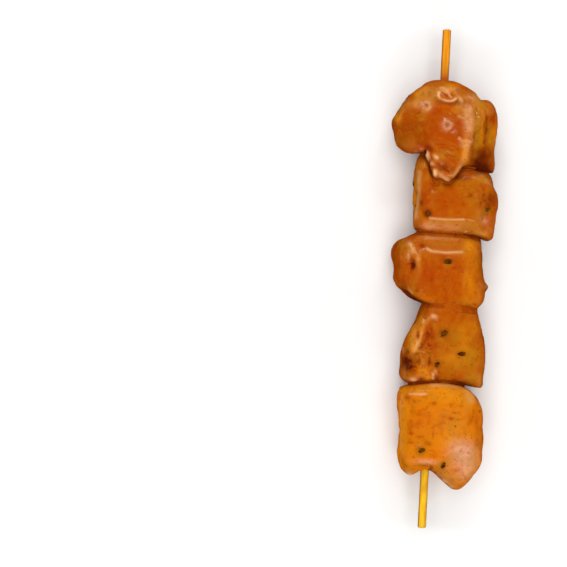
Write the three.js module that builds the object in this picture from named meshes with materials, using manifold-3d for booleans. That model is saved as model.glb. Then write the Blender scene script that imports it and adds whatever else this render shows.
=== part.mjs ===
// A raw chicken kebab: five chunks of marinated chicken breast threaded on a round bamboo skewer,
// lying flat. Millimetres, +Z up, the skewer along Y, the meat resting on the plane Z = 0.
import * as THREE from "three";
import { mergeVertices } from "three/addons/utils/BufferGeometryUtils.js";
import Module from "manifold-3d";

const wasm = await Module();
wasm.setup();

// The bamboo skewer: a round stick with lightly broken edges. axisHeight is its axis above the table.
const skewer = { length: 180, radius: 1.5, bevel: 0.25, sides: 16, axisHeight: 12 };

// Clearance between two solids, the wider seam between two chunks, and the facet grid of a chunk.
const gap = 0.3;
const seam = 0.5;
const grid = { around: 42, along: 24 };

// Where one chunk ends and the next begins, from the top end of the skewer to the bottom end.
// y is the surface's place on the skewer, and leanX and leanZ are its slopes across and upwards.
// A bulge moves the surface by out along Y, in a soft spot of half size wide across and tall
// upwards, round the point x, z. x and z are measured from the skewer's axis.
const walls = [
  {
    y: 71.3,
    leanX: 0,
    leanZ: 0,
    bulges: [{ x: 17, z: -2, wide: 9, tall: 15, out: -6.2 }],
  },
  {
    y: 42.2,
    leanX: -0.17,
    leanZ: -0.1,
    bulges: [
      { x: -6, z: 2, wide: 4, tall: 14, out: 2 },
      { x: -3, z: 11, wide: 2.4, tall: 8, out: -6.6 },
      { x: 1.9, z: 11, wide: 3.5, tall: 8, out: -7 },
    ],
  },
  {
    y: 16.5,
    leanX: -0.02,
    leanZ: -0.045,
    bulges: [
      { x: 20, z: 0, wide: 5, tall: 14, out: -2.8 },
      { x: 0, z: -10, wide: 12, tall: 6, out: 1.2 },
    ],
  },
  {
    y: -9.8,
    leanX: -0.02,
    leanZ: 0,
    bulges: [{ x: -13, z: 2, wide: 7, tall: 14, out: 5.5 }],
  },
  {
    y: -38.4,
    leanX: 0.03,
    leanZ: 0.07,
    bulges: [
      { x: 2.6, z: 13, wide: 8, tall: 8, out: 1 },
      { x: 20, z: 4, wide: 5.5, tall: 13, out: -2.6 },
    ],
  },
  {
    y: -68,
    leanX: 0,
    leanZ: 0,
    bulges: [
      { x: -5.6, z: -1, wide: 3.4, tall: 11, out: -3.5 },
      { x: 11.5, z: -2, wide: 7.2, tall: 13, out: -8.4 },
    ],
  },
];

// The chunks, from the top end down. left, right, up and down are the reach of the meat from the
// skewer's axis, at even steps from the chunk's lower wall to its upper one. squareness is the
// exponent of its lower rim, its upper rim and its cross-section, and crown that of both rims on
// the upper side, where neighbours press each other square. A cut is a knife face: what lies
// beyond the plane is pressed flat, softly. A push moves the surface round a point by a vector,
// and turn swings its soft spot about Z in degrees. Herb flakes lie at x, y on the upper side.
const chunks = [
  {
    name: "chicken_chunk_1",
    left: [17.8, 17.6, 17.9, 15.7, 12.6, 8.4],
    right: [21.5, 19.2, 19.6, 19.9, 20, 20],
    up: [13.6, 14.2, 14.4, 13.8, 12.4, 9.6],
    down: [13.6, 14.4, 14.6, 14.4, 13.8, 12],
    squareness: [4.5, 4, 2.8],
    crown: [5, 4],
    cuts: [
      { at: [8.9, 48.6, 13.2], facing: [0.66, -0.2, 0.66], soft: 0.8 },
      { at: [-9.3, 58.3, 13], facing: [-0.3, 0.42, 0.86], soft: 0.6 },
    ],
    pushes: [
      { at: [0.4, 67, 10.5], size: [4.2, 3.2, 6], push: [0, 0.4, 1.9] },
      { at: [0.4, 62.3, 13.5], size: [5.5, 1.3, 6], push: [0, 0, -0.8] },
      { at: [13.2, 66, 6], size: [1.5, 2, 9], push: [-1, -1, -0.8] },
      { at: [-14.1, 53.4, 13], size: [7, 9, 8], push: [0, 0, -1.3] },
      { at: [-5.8, 45, 14], size: [2.4, 1.4, 5], turn: -42, push: [0, 0, -0.8] },
      { at: [12.4, 41.8, 12], size: [5, 4, 8], push: [0, 0, -2.5] },
      { at: [17.5, 41.5, 0], size: [3, 3, 12], push: [0.6, -1.8, 0] },
    ],
    flakes: [[-6.3, 46.1], [-11.6, 55.6], [5, 58.9], [12.8, 58.5], [0.9, 50.9]],
  },
  {
    name: "chicken_chunk_2",
    left: [8.9, 8.5, 8.5, 8.6, 8.9, 9.8],
    right: [21.2, 20.5, 20.6, 20.8, 19.3, 20.5],
    up: [12, 12.5, 12.4, 12.1, 11.8, 11.4],
    down: [12.4, 13.4, 13.8, 13.6, 13.2, 12.4],
    squareness: [7, 4.5, 3.3],
    crown: [9, 5],
    cuts: [
      { at: [14, 28.3, 11], facing: [0.66, 0, 0.75], soft: 1.2 },
      { at: [0, 22.4, 12.9], facing: [0.02, -0.5, 0.86], soft: 0.7 },
    ],
    pushes: [
      { at: [19.5, 30, 3], size: [4, 4.2, 6], push: [0.6, 0, -0.3] },
      { at: [-6.2, 36, 12], size: [3, 6, 5], push: [0, 0, -0.8] },
      { at: [14.4, 35.9, 8], size: [4, 2.4, 7], push: [0, 0.3, 1.2] },
      { at: [18, 39.5, 0], size: [3, 2.5, 12], push: [0.8, 1.2, 0] },
    ],
    flakes: [[-4.8, 22.7], [9.7, 29.7], [15.7, 25.6], [-6.9, 26.6], [3.7, 30.7]],
  },
  {
    name: "chicken_chunk_3",
    left: [12.5, 14.4, 14.6, 15.4, 14.4, 10],
    right: [18.5, 18.5, 17.2, 16.6, 16.8, 18],
    up: [12.2, 12.9, 13.4, 13.4, 12.8, 12],
    down: [13.8, 14.6, 14.9, 14.9, 14.4, 13.4],
    squareness: [6, 4, 3.1],
    crown: [13, 9],
    cuts: [
      { at: [0, 8, 13.6], facing: [0, 0.46, 0.89], soft: 0.7 },
      { at: [-10.7, 3.8, 12.2], facing: [-0.58, 0.1, 0.8], soft: 1 },
    ],
    pushes: [
      { at: [19, -1.7, 2], size: [3, 1.6, 4], push: [2.3, -0.2, 0] },
      { at: [-8.8, 7.7, 12.5], size: [1.8, 4.6, 6], turn: 24, push: [0, 0, 0.9] },
      { at: [-9.2, 3.8, 12], size: [1.6, 2, 5], push: [0, 0, -1] },
      { at: [9.2, 1.8, 13], size: [1.2, 9, 5], push: [0, 0, 0.25] },
      { at: [14.6, 14.2, 0], size: [2.6, 2.6, 12], push: [1.1, 0.9, 0] },
      { at: [13.6, -8.8, 0], size: [2.6, 2.2, 12], push: [0.8, -0.8, 0] },
    ],
    flakes: [[3, 6.3], [-9.2, 4], [-5.7, 11.2], [-2.4, -0.7], [11.6, -4.6]],
  },
  {
    name: "chicken_chunk_4",
    left: [12, 10.8, 10.4, 7.9, 5.2, 4.2],
    right: [20.5, 19.3, 19.3, 19, 17.3, 15.6],
    up: [11, 11.9, 12.2, 12.3, 12.5, 12.2],
    down: [12.6, 13.2, 13.4, 13.4, 13.2, 12.8],
    squareness: [4, 6, 3],
    crown: [9, 13],
    cuts: [{ at: [12.9, -23.5, 11], facing: [0.58, 0, 0.81], soft: 1.4 }],
    pushes: [
      { at: [-5.4, -20.1, 11.5], size: [1.9, 5.8, 6], turn: -14, push: [-0.3, 0, 1.5] },
      { at: [-2.2, -19.1, 12.5], size: [1.3, 5, 5], turn: -14, push: [0, 0, -0.7] },
      { at: [-7.3, -30.9, 9], size: [3.8, 3, 7], push: [0.6, 0, -2.8] },
      { at: [-6.4, -35.4, 9.5], size: [3.4, 1.1, 5], turn: 20, push: [0, 0, 1.1] },
      { at: [0, -13.4, 12.4], size: [1.6, 1.2, 4], push: [0, 0, 0.8] },
      { at: [-0.1, -33.3, 11.5], size: [1.6, 2.2, 5], push: [0, 0, 0.9] },
      { at: [14.2, -11.2, 0], size: [2.6, 2.2, 12], push: [1, 0.7, 0] },
      { at: [17.4, -36.8, 0], size: [2.4, 2.6, 12], push: [1.1, -1.3, 0] },
    ],
    flakes: [[3.1, -19.2], [9.7, -26], [1.1, -30.3], [1.4, -35.2], [5.8, -22.5]],
  },
  {
    name: "chicken_chunk_5",
    left: [10.4, 9.7, 9.6, 10.2, 11.2, 11.8],
    right: [21, 20, 19.9, 19.8, 19.4, 19],
    up: [12.8, 14, 14.6, 14.6, 14.2, 13.6],
    down: [13.4, 14.4, 14.6, 14.6, 14.4, 13.6],
    squareness: [5, 5, 3.1],
    crown: [4, 8],
    cuts: [
      { at: [11.7, -60.9, 13], facing: [0.42, -0.3, 0.86], soft: 2 },
      { at: [15.3, -48.9, 11.5], facing: [0.7, 0, 0.71], soft: 1.4 },
    ],
    pushes: [
      { at: [2, -71, 8], size: [2.2, 3.4, 8], turn: -25, push: [0, 1, -1.8] },
      { at: [-6.4, -39.7, 14], size: [5, 1, 5], push: [0, 0, 0.5] },
      { at: [-3.6, -43, 14.4], size: [6, 1.6, 5], push: [0, 0, -0.4] },
    ],
    flakes: [[-3, -61.1], [5, -65.4], [7, -49], [0.7, -43.9], [-8.6, -42], [-5.9, -58.2]],
  },
];

// Gentle unevenness of soft meat: three crossing waves.
const lumps = [
  { rise: 0.22, wave: [0.31, 0.19, 0.33], start: 0.4 },
  { rise: 0.18, wave: [-0.2, 0.39, 0.44], start: 2.1 },
  { rise: 0.12, wave: [0.52, -0.31, 0.6], start: 4 },
];

// Herb flakes: half lengths of a flat, blunt scrap, the range of sizes, and how many more lie on a
// chunk's flanks, at which shares of its length and heights from the skewer. They are aimed at the
// meat from outside, this far from the skewer.
const flake = { long: 1.3, wide: 0.75, thick: 0.4, scale: [0.7, 1.2], aimedFrom: 40 };
const flankFlakes = { count: 3, share: [0.3, 0.7], height: [-1, 4] };

// How the floor rounds the underside off, and how far the skewer holds the meat in place.
const floorSoftness = 1.6;
const heldRadius = 2.5;
const upwards = new THREE.Vector3(0, 0, 1);

// A repeatable draw between 0 and 1.
function makeRandom(seed) {
  let state = seed;
  return () => {
    state = (state * 16807) % 2147483647;
    return state / 2147483647;
  };
}

// A number drawn from a range.
const drawn = (random, [from, to]) => from + (to - from) * random();

// Value of evenly spaced numbers at a share from 0 to 1, on a Catmull-Rom curve.
function along(values, share) {
  const last = values.length - 1;
  const place = Math.min(Math.max(share, 0), 1) * last;
  const step = Math.min(Math.floor(place), last - 1);
  const t = place - step;
  const before = values[Math.max(step - 1, 0)];
  const here = values[step];
  const next = values[step + 1];
  const after = values[Math.min(step + 2, last)];
  const slopeHere = (next - before) / 2;
  const slopeNext = (after - here) / 2;
  return (
    here * (2 * t ** 3 - 3 * t ** 2 + 1) +
    slopeHere * (t ** 3 - 2 * t ** 2 + t) +
    next * (3 * t ** 2 - 2 * t ** 3) +
    slopeNext * (t ** 3 - t ** 2)
  );
}

// The larger of a value and zero, rounded off over softness on both sides.
function softPositive(value, softness) {
  if (value <= -softness) return 0;
  if (value >= softness) return value;
  return (value + softness) ** 2 / (4 * softness);
}

function wallAt(wall, x, z) {
  const spot = (b) => b.out * Math.exp(-(((x - b.x) / b.wide) ** 2) - ((z - b.z) / b.tall) ** 2);
  const plane = wall.y + wall.leanX * x + wall.leanZ * z;
  return plane + wall.bulges.map(spot).reduce((sum, out) => sum + out, 0);
}

// How far down and up the skewer a chunk may reach at a point, half a seam short of its walls.
const lowest = (wall, point) => wallAt(wall, point.x, point.z) + seam / 2;
const highest = (wall, point) => wallAt(wall, point.x, point.z) - seam / 2;

// Rim profile of a chunk as [distance out from the bore, place between its walls], both as shares,
// from the lower end of the bore to the upper one, evenly spaced along its length.
function rimProfile(squareLow, squareHigh, steps) {
  const fine = 400;
  const curve = Array.from({ length: fine + 1 }, (_, i) => {
    const angle = (i / fine - 0.5) * Math.PI;
    const power = 2 / (angle < 0 ? squareLow : squareHigh);
    return [Math.cos(angle) ** power, Math.sign(angle) * Math.abs(Math.sin(angle)) ** power];
  });
  curve[0][0] = 0;
  curve[fine][0] = 0;
  const reached = [0];
  for (let i = 1; i <= fine; i++)
    reached.push(
      reached[i - 1] + Math.hypot(curve[i][0] - curve[i - 1][0], curve[i][1] - curve[i - 1][1]),
    );
  let i = 0;
  return Array.from({ length: steps + 1 }, (_, k) => {
    const wanted = (reached[fine] * k) / steps;
    while (i < fine - 1 && reached[i + 1] < wanted) i++;
    const t = (wanted - reached[i]) / (reached[i + 1] - reached[i]);
    return [0, 1].map((n) => curve[i][n] + (curve[i + 1][n] - curve[i][n]) * t);
  });
}

// One point of a chunk's skin, at an angle round the skewer and a step of its two rim profiles:
// the one of its flanks and the one of its crown, blended by how far the angle faces up.
function skinPoint(chunk, low, high, angle, flank, crown) {
  const [c, s] = [Math.cos(angle), Math.sin(angle)];
  const [out, place] = [0, 1].map((n) => THREE.MathUtils.lerp(flank[n], crown[n], Math.max(s, 0) ** 2));
  const share = (place + 1) / 2;
  const across = along(c > 0 ? chunk.right : chunk.left, share);
  const upright = along(s > 0 ? chunk.up : chunk.down, share);
  const square = chunk.squareness[2];
  const reach = (Math.abs(c / across) ** square + Math.abs(s / upright) ** square) ** (-1 / square);
  const bore = skewer.radius + gap;
  const radius = bore + out * (reach - bore);
  const point = new THREE.Vector3(radius * c, 0, radius * s);
  point.y = THREE.MathUtils.lerp(lowest(low, point), highest(high, point), share);
  return point;
}

// Knife faces, pushes and lumps. They fade out towards the skewer and keep to the chunk's walls.
function shapeSkin(point, chunk, low, high) {
  const hold = THREE.MathUtils.smoothstep(
    Math.hypot(point.x, point.z), skewer.radius + gap, skewer.radius + gap + heldRadius);
  if (hold === 0) return;
  for (const cut of chunk.cuts) {
    const facing = new THREE.Vector3(...cut.facing).normalize();
    const beyond = facing.dot(point.clone().sub(new THREE.Vector3(...cut.at)));
    point.addScaledVector(facing, -hold * softPositive(beyond, cut.soft));
  }
  for (const { at, size, turn = 0, push } of chunk.pushes) {
    const away = point.clone().sub(new THREE.Vector3(...at));
    away.applyAxisAngle(upwards, THREE.MathUtils.degToRad(-turn));
    const spot = Math.exp(-away.divide(new THREE.Vector3(...size)).lengthSq());
    point.addScaledVector(new THREE.Vector3(...push), hold * spot);
  }
  const outwards = new THREE.Vector3(point.x, 0, point.z).normalize();
  for (const { rise, wave, start } of lumps)
    point.addScaledVector(outwards, hold * rise * Math.sin(point.dot(new THREE.Vector3(...wave)) + start));
  point.y = THREE.MathUtils.clamp(point.y, lowest(low, point), highest(high, point));
}

// A closed ring of quads: rows of points round the skewer, joined row to row and last to first.
function ringGeometry(rows) {
  const around = rows[0].length;
  const triangles = [];
  rows.forEach((_, r) => {
    for (let i = 0; i < around; i++) {
      const next = (i + 1) % around;
      const above = (r + 1) % rows.length;
      const [a, b] = [r * around + i, r * around + next];
      const [c, d] = [above * around + i, above * around + next];
      triangles.push(a, d, b, a, c, d);
    }
  });
  const geometry = new THREE.BufferGeometry().setFromPoints(rows.flat());
  geometry.setIndex(triangles);
  return geometry;
}

function chunkGeometry(chunk, low, high) {
  const profileOf = (rim) => rimProfile(rim[0], rim[1], grid.along);
  const [flank, crown] = [profileOf(chunk.squareness), profileOf(chunk.crown)];
  const rows = flank.map((step, k) =>
    Array.from({ length: grid.around }, (_, i) => {
      const angle = (2 * Math.PI * i) / grid.around;
      const point = skinPoint(chunk, low, high, angle, step, crown[k]);
      shapeSkin(point, chunk, low, high);
      point.z = softPositive(point.z + skewer.axisHeight, floorSoftness) - skewer.axisHeight;
      return point;
    }),
  );
  return ringGeometry(rows);
}

// A flat blunt scrap, lying on a surface that faces along normal.
function flakeGeometry(spot, normal, turn, scale) {
  const scrap = new THREE.IcosahedronGeometry(1);
  scrap.scale(flake.long * scale, flake.wide * scale, flake.thick);
  scrap.rotateZ(turn);
  scrap.applyQuaternion(new THREE.Quaternion().setFromUnitVectors(upwards, normal));
  return scrap.translate(spot.x, spot.y, spot.z);
}

// Herb flakes on a chunk: the listed ones from above, and a few drawn at random on both flanks.
function flakesOn(chunk, geometry, random) {
  const skin = new THREE.Mesh(geometry, new THREE.MeshBasicMaterial({ side: THREE.DoubleSide }));
  const box = new THREE.Box3().setFromBufferAttribute(geometry.getAttribute("position"));
  const aims = chunk.flakes.map(([x, y]) => ({
    from: new THREE.Vector3(x, y, flake.aimedFrom),
    towards: new THREE.Vector3(0, 0, -1),
  }));
  for (let i = 0; i < flankFlakes.count; i++) {
    const side = i % 2 ? 1 : -1;
    const y = THREE.MathUtils.lerp(box.min.y, box.max.y, drawn(random, flankFlakes.share));
    aims.push({
      from: new THREE.Vector3(side * flake.aimedFrom, y, drawn(random, flankFlakes.height)),
      towards: new THREE.Vector3(-side, 0, 0),
    });
  }
  const caster = new THREE.Raycaster();
  return aims.flatMap(({ from, towards }) => {
    caster.set(from, towards);
    const [turn, scale] = [drawn(random, [0, Math.PI]), drawn(random, flake.scale)];
    const hit = caster.intersectObject(skin)[0];
    return hit ? [flakeGeometry(hit.point, hit.face.normal, turn, scale)] : [];
  });
}

function toSolid(geometry) {
  const bare = geometry.clone();
  bare.deleteAttribute("normal");
  bare.deleteAttribute("uv");
  const merged = mergeVertices(bare, 1e-4);
  return new wasm.Manifold(
    new wasm.Mesh({
      numProp: 3,
      vertProperties: merged.getAttribute("position").array,
      triVerts: new Uint32Array(merged.getIndex().array),
    }),
  );
}

function toGeometry(solid) {
  const { numVert, numProp, vertProperties, triVerts } = solid.getMesh();
  const positions = new Float32Array(numVert * 3);
  for (let i = 0; i < numVert; i++)
    positions.set(vertProperties.subarray(i * numProp, i * numProp + 3), i * 3);
  const geometry = new THREE.BufferGeometry();
  geometry.setAttribute("position", new THREE.BufferAttribute(positions, 3));
  geometry.setIndex(new THREE.BufferAttribute(triVerts, 1));
  geometry.computeVertexNormals();
  return geometry;
}

function stickGeometry() {
  const { length, radius, bevel, sides } = skewer;
  const outline = [
    [0, -length / 2],
    [radius - bevel, -length / 2],
    [radius, bevel - length / 2],
    [radius, length / 2 - bevel],
    [radius - bevel, length / 2],
    [0, length / 2],
  ];
  return new THREE.LatheGeometry(outline.map((p) => new THREE.Vector2(...p)), sides);
}

const bamboo = new THREE.MeshStandardMaterial({ name: "bamboo", color: 0xe8b040, roughness: 0.6 });
const meat = new THREE.MeshStandardMaterial({ name: "marinated_chicken", color: 0xc06414, roughness: 0.3 });

function namedMesh(name, geometry, material) {
  const mesh = new THREE.Mesh(geometry, material);
  mesh.name = name;
  return mesh;
}

const kebab = new THREE.Group();
kebab.add(namedMesh("bamboo_skewer", stickGeometry(), bamboo));

// Each chunk is trimmed by the one above it, moved down by the gap.
const random = makeRandom(7);
let above = null;
chunks.forEach((chunk, i) => {
  const geometry = chunkGeometry(chunk, walls[i + 1], walls[i]);
  let solid = toSolid(geometry);
  const flakes = flakesOn(chunk, geometry, random).map(toSolid);
  if (above) solid = solid.subtract(above.translate([0, -gap, 0]));
  above = solid;
  for (const scrap of flakes) solid = solid.add(scrap);
  kebab.add(namedMesh(chunk.name, toGeometry(solid), meat));
});

// Stand the kebab on Z = 0 with its outline centred on the origin.
kebab.position.z = skewer.axisHeight;
kebab.position.x = -new THREE.Box3().setFromObject(kebab).getCenter(new THREE.Vector3()).x;

export default kebab;
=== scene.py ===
# A raw chicken kebab on a bamboo skewer: five chunks of marinated breast, the marinade in their
# seams, herb flakes, spices, droplets and the stick. Shapes are worked out in millimetres from the
# stick's axis, +Y along the stick and +Z up, and put in the row frame when a piece is made.
import math

import bpy
import numpy as np
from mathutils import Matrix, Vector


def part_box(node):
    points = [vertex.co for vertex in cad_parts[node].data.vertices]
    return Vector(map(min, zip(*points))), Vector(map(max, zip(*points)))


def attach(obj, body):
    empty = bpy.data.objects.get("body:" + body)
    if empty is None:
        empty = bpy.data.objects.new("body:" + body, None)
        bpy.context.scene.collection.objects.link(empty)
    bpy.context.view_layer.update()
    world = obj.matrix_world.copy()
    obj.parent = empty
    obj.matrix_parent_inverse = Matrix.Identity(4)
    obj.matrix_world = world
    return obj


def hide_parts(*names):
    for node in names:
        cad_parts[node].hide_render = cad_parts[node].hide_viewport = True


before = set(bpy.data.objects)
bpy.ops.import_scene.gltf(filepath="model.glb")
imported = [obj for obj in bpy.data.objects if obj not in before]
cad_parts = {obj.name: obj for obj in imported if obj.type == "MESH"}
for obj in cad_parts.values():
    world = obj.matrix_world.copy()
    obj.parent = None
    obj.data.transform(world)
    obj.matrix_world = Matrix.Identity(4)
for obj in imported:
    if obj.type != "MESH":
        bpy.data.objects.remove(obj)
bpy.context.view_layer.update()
stickLow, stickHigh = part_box("bamboo_skewer")
axisPoint = np.array([(stickLow.x + stickHigh.x) / 2, 0, (stickLow.z + stickHigh.z) / 2])
millimetre = 0.001
tableZ = -axisPoint[2] / millimetre  # the table, seen from the stick's axis
print("frame loaded")

random = np.random.default_rng(41)


def smoothStep(value, low, high):
    # 0 below low, 1 above high and 3t^2 - 2t^3 between them
    t = np.clip((value - low) / (high - low), 0, 1)
    return t * t * (3 - 2 * t)


def softPositive(value, softness):
    # the larger of a value and zero, with a parabola over softness on both sides
    rounded = (value + softness) ** 2 / (4 * softness)
    return np.where(value <= -softness, 0, np.where(value >= softness, value, rounded))


def along(values, share):
    # evenly spaced values read at a share from 0 to 1, on a Catmull-Rom curve
    values = np.asarray(values, float)
    last = len(values) - 1
    place = np.clip(share, 0, 1) * last
    step = np.minimum(place.astype(int), last - 1)
    t = place - step
    before, here = values[np.maximum(step - 1, 0)], values[step]
    after, beyond = values[step + 1], values[np.minimum(step + 2, last)]
    return (
        here * (2 * t**3 - 3 * t**2 + 1)
        + (after - before) / 2 * (t**3 - 2 * t**2 + t)
        + after * (3 * t**2 - 2 * t**3)
        + (beyond - here) / 2 * (t**3 - t**2)
    )


def unit(vectors):
    # each vector divided by its length
    return vectors / np.maximum(np.linalg.norm(vectors, axis=-1, keepdims=True), 1e-9)


def turnAngles(count):
    # evenly spaced angles of one full turn
    return 2 * math.pi * np.arange(count) / count


def slopeNoise(points, seed):
    # each corner of a unit cell has a seeded slope, and the eight planes are blended by
    # 6t^5 - 15t^4 + 10t^3 in each direction; about -1 to 1
    table = np.random.default_rng(seed)
    slopes = unit(table.normal(size=(256, 3)))
    order = table.permutation(256)
    cell = np.floor(points).astype(int)
    part = points - cell
    ease = part**3 * (part * (part * 6 - 15) + 10)
    total = 0
    for corner in np.ndindex(2, 2, 2):
        key = 0
        for axis in range(3):
            key = order[(key + cell[..., axis] + corner[axis]) % 256]
        weight = np.prod(np.where(np.array(corner) == 1, ease, 1 - ease), axis=-1)
        total = total + weight * np.sum(slopes[key] * (part - corner), axis=-1)
    return total * 1.6


def pathDistance(x, y, path):
    # how far each x, y lies from a line through the path's points
    nearest = np.full(np.shape(x), 1e9)
    for (x0, y0), (x1, y1) in zip(path, path[1:]):
        run = max((x1 - x0) ** 2 + (y1 - y0) ** 2, 1e-9)
        t = np.clip(((x - x0) * (x1 - x0) + (y - y0) * (y1 - y0)) / run, 0, 1)
        nearest = np.minimum(nearest, np.hypot(x - x0 - t * (x1 - x0), y - y0 - t * (y1 - y0)))
    return nearest


def ringQuads(rows, columns, closedRows):
    # quads between neighbouring rows of a ring grid; closedRows also joins the last row to the first
    row = np.arange(rows if closedRows else rows - 1)[:, None]
    column = np.arange(columns)[None, :]
    above, beside = (row + 1) % rows, (column + 1) % columns
    corners = [row * columns + column, above * columns + column,
               above * columns + beside, row * columns + beside]
    return np.stack(corners, axis=-1).reshape(-1, 4)


def makePiece(name, points, faces, material, masks=None):
    # one mesh from points in millimetres and a list of face arrays, all of one size each
    mesh = bpy.data.meshes.new(name)
    points = points.reshape(-1, 3) * millimetre + axisPoint
    loops = np.concatenate([f.ravel() for f in faces])
    totals = np.concatenate([np.full(len(f), f.shape[1]) for f in faces])
    mesh.vertices.add(len(points))
    mesh.vertices.foreach_set("co", points.ravel().astype(np.float32))
    mesh.loops.add(len(loops))
    mesh.loops.foreach_set("vertex_index", loops.astype(np.int32))
    mesh.polygons.add(len(totals))
    mesh.polygons.foreach_set("loop_start", (np.cumsum(totals) - totals).astype(np.int32))
    mesh.polygons.foreach_set("loop_total", totals.astype(np.int32))
    mesh.update(calc_edges=True)
    mesh.shade_smooth()
    for maskName, values in (masks or {}).items():
        kind, key = ("FLOAT_VECTOR", "vector") if values.shape[-1] == 3 else ("FLOAT_COLOR", "color")
        attribute = mesh.attributes.new(maskName, kind, "POINT")
        attribute.data.foreach_set(key, values.reshape(-1).astype(np.float32))
    mesh.materials.append(material)
    piece = bpy.data.objects.new(name, mesh)
    bpy.context.scene.collection.objects.link(piece)
    return piece


def pebbles(places, frames, sizes, outline, bend, around, rows):
    # flattened closed scraps, one per place: for angle a and latitude b the point is
    # (long R(a) cos a cos b, wide R(a) sin a cos b, thick sin b + bend cos^2 b cos^2 a),
    # turned by the place's frame; R(a) = 1 + the sum of outline waves, each with its own start
    latitude = np.linspace(-math.pi / 2, math.pi / 2, rows + 1)[1:-1, None]
    angle = turnAngles(around)[None, :]
    count = len(places)
    rim = np.ones((count, 1, around))
    for waves, rise in outline:
        start = random.uniform(0, 2 * math.pi, (count, 1, 1))
        rim = rim + rise * np.cos(waves * angle + start)
    flat = np.cos(latitude)
    body = np.stack([
        sizes[:, 0, None, None] * rim * np.cos(angle) * flat,
        sizes[:, 1, None, None] * rim * np.sin(angle) * flat,
        sizes[:, 2, None, None] * np.sin(latitude) * np.ones_like(angle)
        + bend[:, None, None] * flat**2 * np.cos(angle) ** 2,
    ], axis=-1).reshape(count, -1, 3)
    poles = np.zeros((count, 2, 3))
    poles[:, 0, 2], poles[:, 1, 2] = -sizes[:, 2], sizes[:, 2]
    local = np.concatenate([body, poles], axis=1)
    points = places[:, None, :] + np.einsum("nvk,nkj->nvj", local, frames)
    side = ringQuads(rows - 1, around, False)[:, ::-1]
    column = np.arange(around)
    beside = (column + 1) % around
    top = (rows - 2) * around
    southPole, northPole = (rows - 1) * around, (rows - 1) * around + 1
    ends = np.concatenate([
        np.stack([beside, column, np.full(around, southPole)], axis=1),
        np.stack([top + column, top + beside, np.full(around, northPole)], axis=1),
    ])
    shift = (np.arange(count) * local.shape[1])[:, None, None]
    faces = [(side[None] + shift).reshape(-1, 4), (ends[None] + shift).reshape(-1, 3)]
    return points, faces


def setStops(node, stops):
    # a ramp's places and colours, of which its own two elements take the first and the last
    ramp = node.color_ramp
    for place, _ in stops[1:-1]:
        ramp.elements.new(place)
    for element, (place, colour) in zip(ramp.elements, stops):
        element.position, element.color = place, colour


class Wire:
    # A socket of a material's nodes. Sums on it add Math nodes, and add() makes any other node.
    def __init__(self, tree, socket=None):
        self.tree, self.socket = tree, socket

    def add(self, kind, settings, inputs, out=0):
        node = self.tree.nodes.new(kind)
        for name, value in settings.items():
            if name == "stops":
                setStops(node, value)
            else:
                setattr(node, name, value)
        for name, value in inputs.items():
            if isinstance(value, Wire):
                self.tree.links.new(value.socket, node.inputs[name])
            else:
                node.inputs[name].default_value = value
        return Wire(self.tree, node.outputs[out] if node.outputs else None)

    def calc(self, operation, *values):
        return self.add("ShaderNodeMath", {"operation": operation}, dict(enumerate(values)))

    def __add__(self, other):
        return self.calc("ADD", self, other)

    def __radd__(self, other):
        return self.calc("ADD", other, self)

    def __sub__(self, other):
        return self.calc("SUBTRACT", self, other)

    def __rsub__(self, other):
        return self.calc("SUBTRACT", other, self)

    def __mul__(self, other):
        return self.calc("MULTIPLY", self, other)

    def __rmul__(self, other):
        return self.calc("MULTIPLY", other, self)

    def clamped(self):
        return self.add("ShaderNodeClamp", {}, {0: self})

    def between(self, low, high):
        # smooth step of the value from low to high
        return self.add("ShaderNodeMapRange", {"interpolation_type": "SMOOTHSTEP"},
                        {"Value": self, "From Min": low, "From Max": high})

    def patchy(self, noise, strength):
        # a mask broken up by noise; 0 and 1 stay as they are
        return (self + (noise - 0.5) * self * (1 - self) * (4 * strength)).clamped()


def newMaterial(name):
    # an empty material, its wire, and each point's place in metres
    material = bpy.data.materials.new(name)
    material.use_nodes = True
    material.node_tree.nodes.clear()
    wire = Wire(material.node_tree)
    return material, wire, wire.add("ShaderNodeTexCoord", {}, {}, "Object")


def attributeMasks(wire, name, channels=("Red", "Green", "Blue")):
    # channels of a piece's colour attribute, each as a mask
    colour = wire.add("ShaderNodeAttribute", {"attribute_name": name}, {}, "Color")
    return [wire.add("ShaderNodeSeparateColor", {}, {0: colour}, channel) for channel in channels]


def layered(wire, colour, layers):
    # a colour with each layer's tone mixed over it by that layer's mask, in the order given
    for mask, tone in layers:
        colour = wire.add("ShaderNodeMix", {"data_type": "RGBA"}, {0: mask, 6: colour, 7: tone}, 2)
    return colour


def noiseAt(wire, coordinates, scale, detail, roughness, stretch=(1, 1, 1)):
    # noise from 0 to 1, on coordinates that are scaled by stretch first
    moved = wire.add("ShaderNodeMapping", {}, {"Vector": coordinates, "Scale": stretch})
    return wire.add("ShaderNodeTexNoise", {},
                    {"Vector": moved, "Scale": scale, "Detail": detail, "Roughness": roughness})


def linear(red, green, blue):
    # a screen colour from 0 to 255 as linear light
    part = np.array([red, green, blue]) / 255
    light = np.where(part <= 0.04045, part / 12.92, ((part + 0.055) / 1.055) ** 2.4)
    return (*[float(x) for x in light], 1.0)


def finishSurface(wire, colour, roughness, values, height=None, depth=0.0):
    # the Principled shader; height is a bump of that depth in metres
    inputs = {"Base Color": colour, "Roughness": roughness, **values}
    if height is not None:
        inputs["Normal"] = wire.add("ShaderNodeBump", {}, {"Height": height, "Distance": depth})
    surface = wire.add("ShaderNodeBsdfPrincipled", {}, inputs)
    wire.add("ShaderNodeOutputMaterial", {}, {"Surface": surface})


# lens, sensor, height over the stick's axis and the point below it in millimetres; turn in degrees
camera = {"lens": 85, "sensor": 36, "height": 483.84, "centre": np.array([-54.36, -4.50]), "turn": 2.912}
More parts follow.
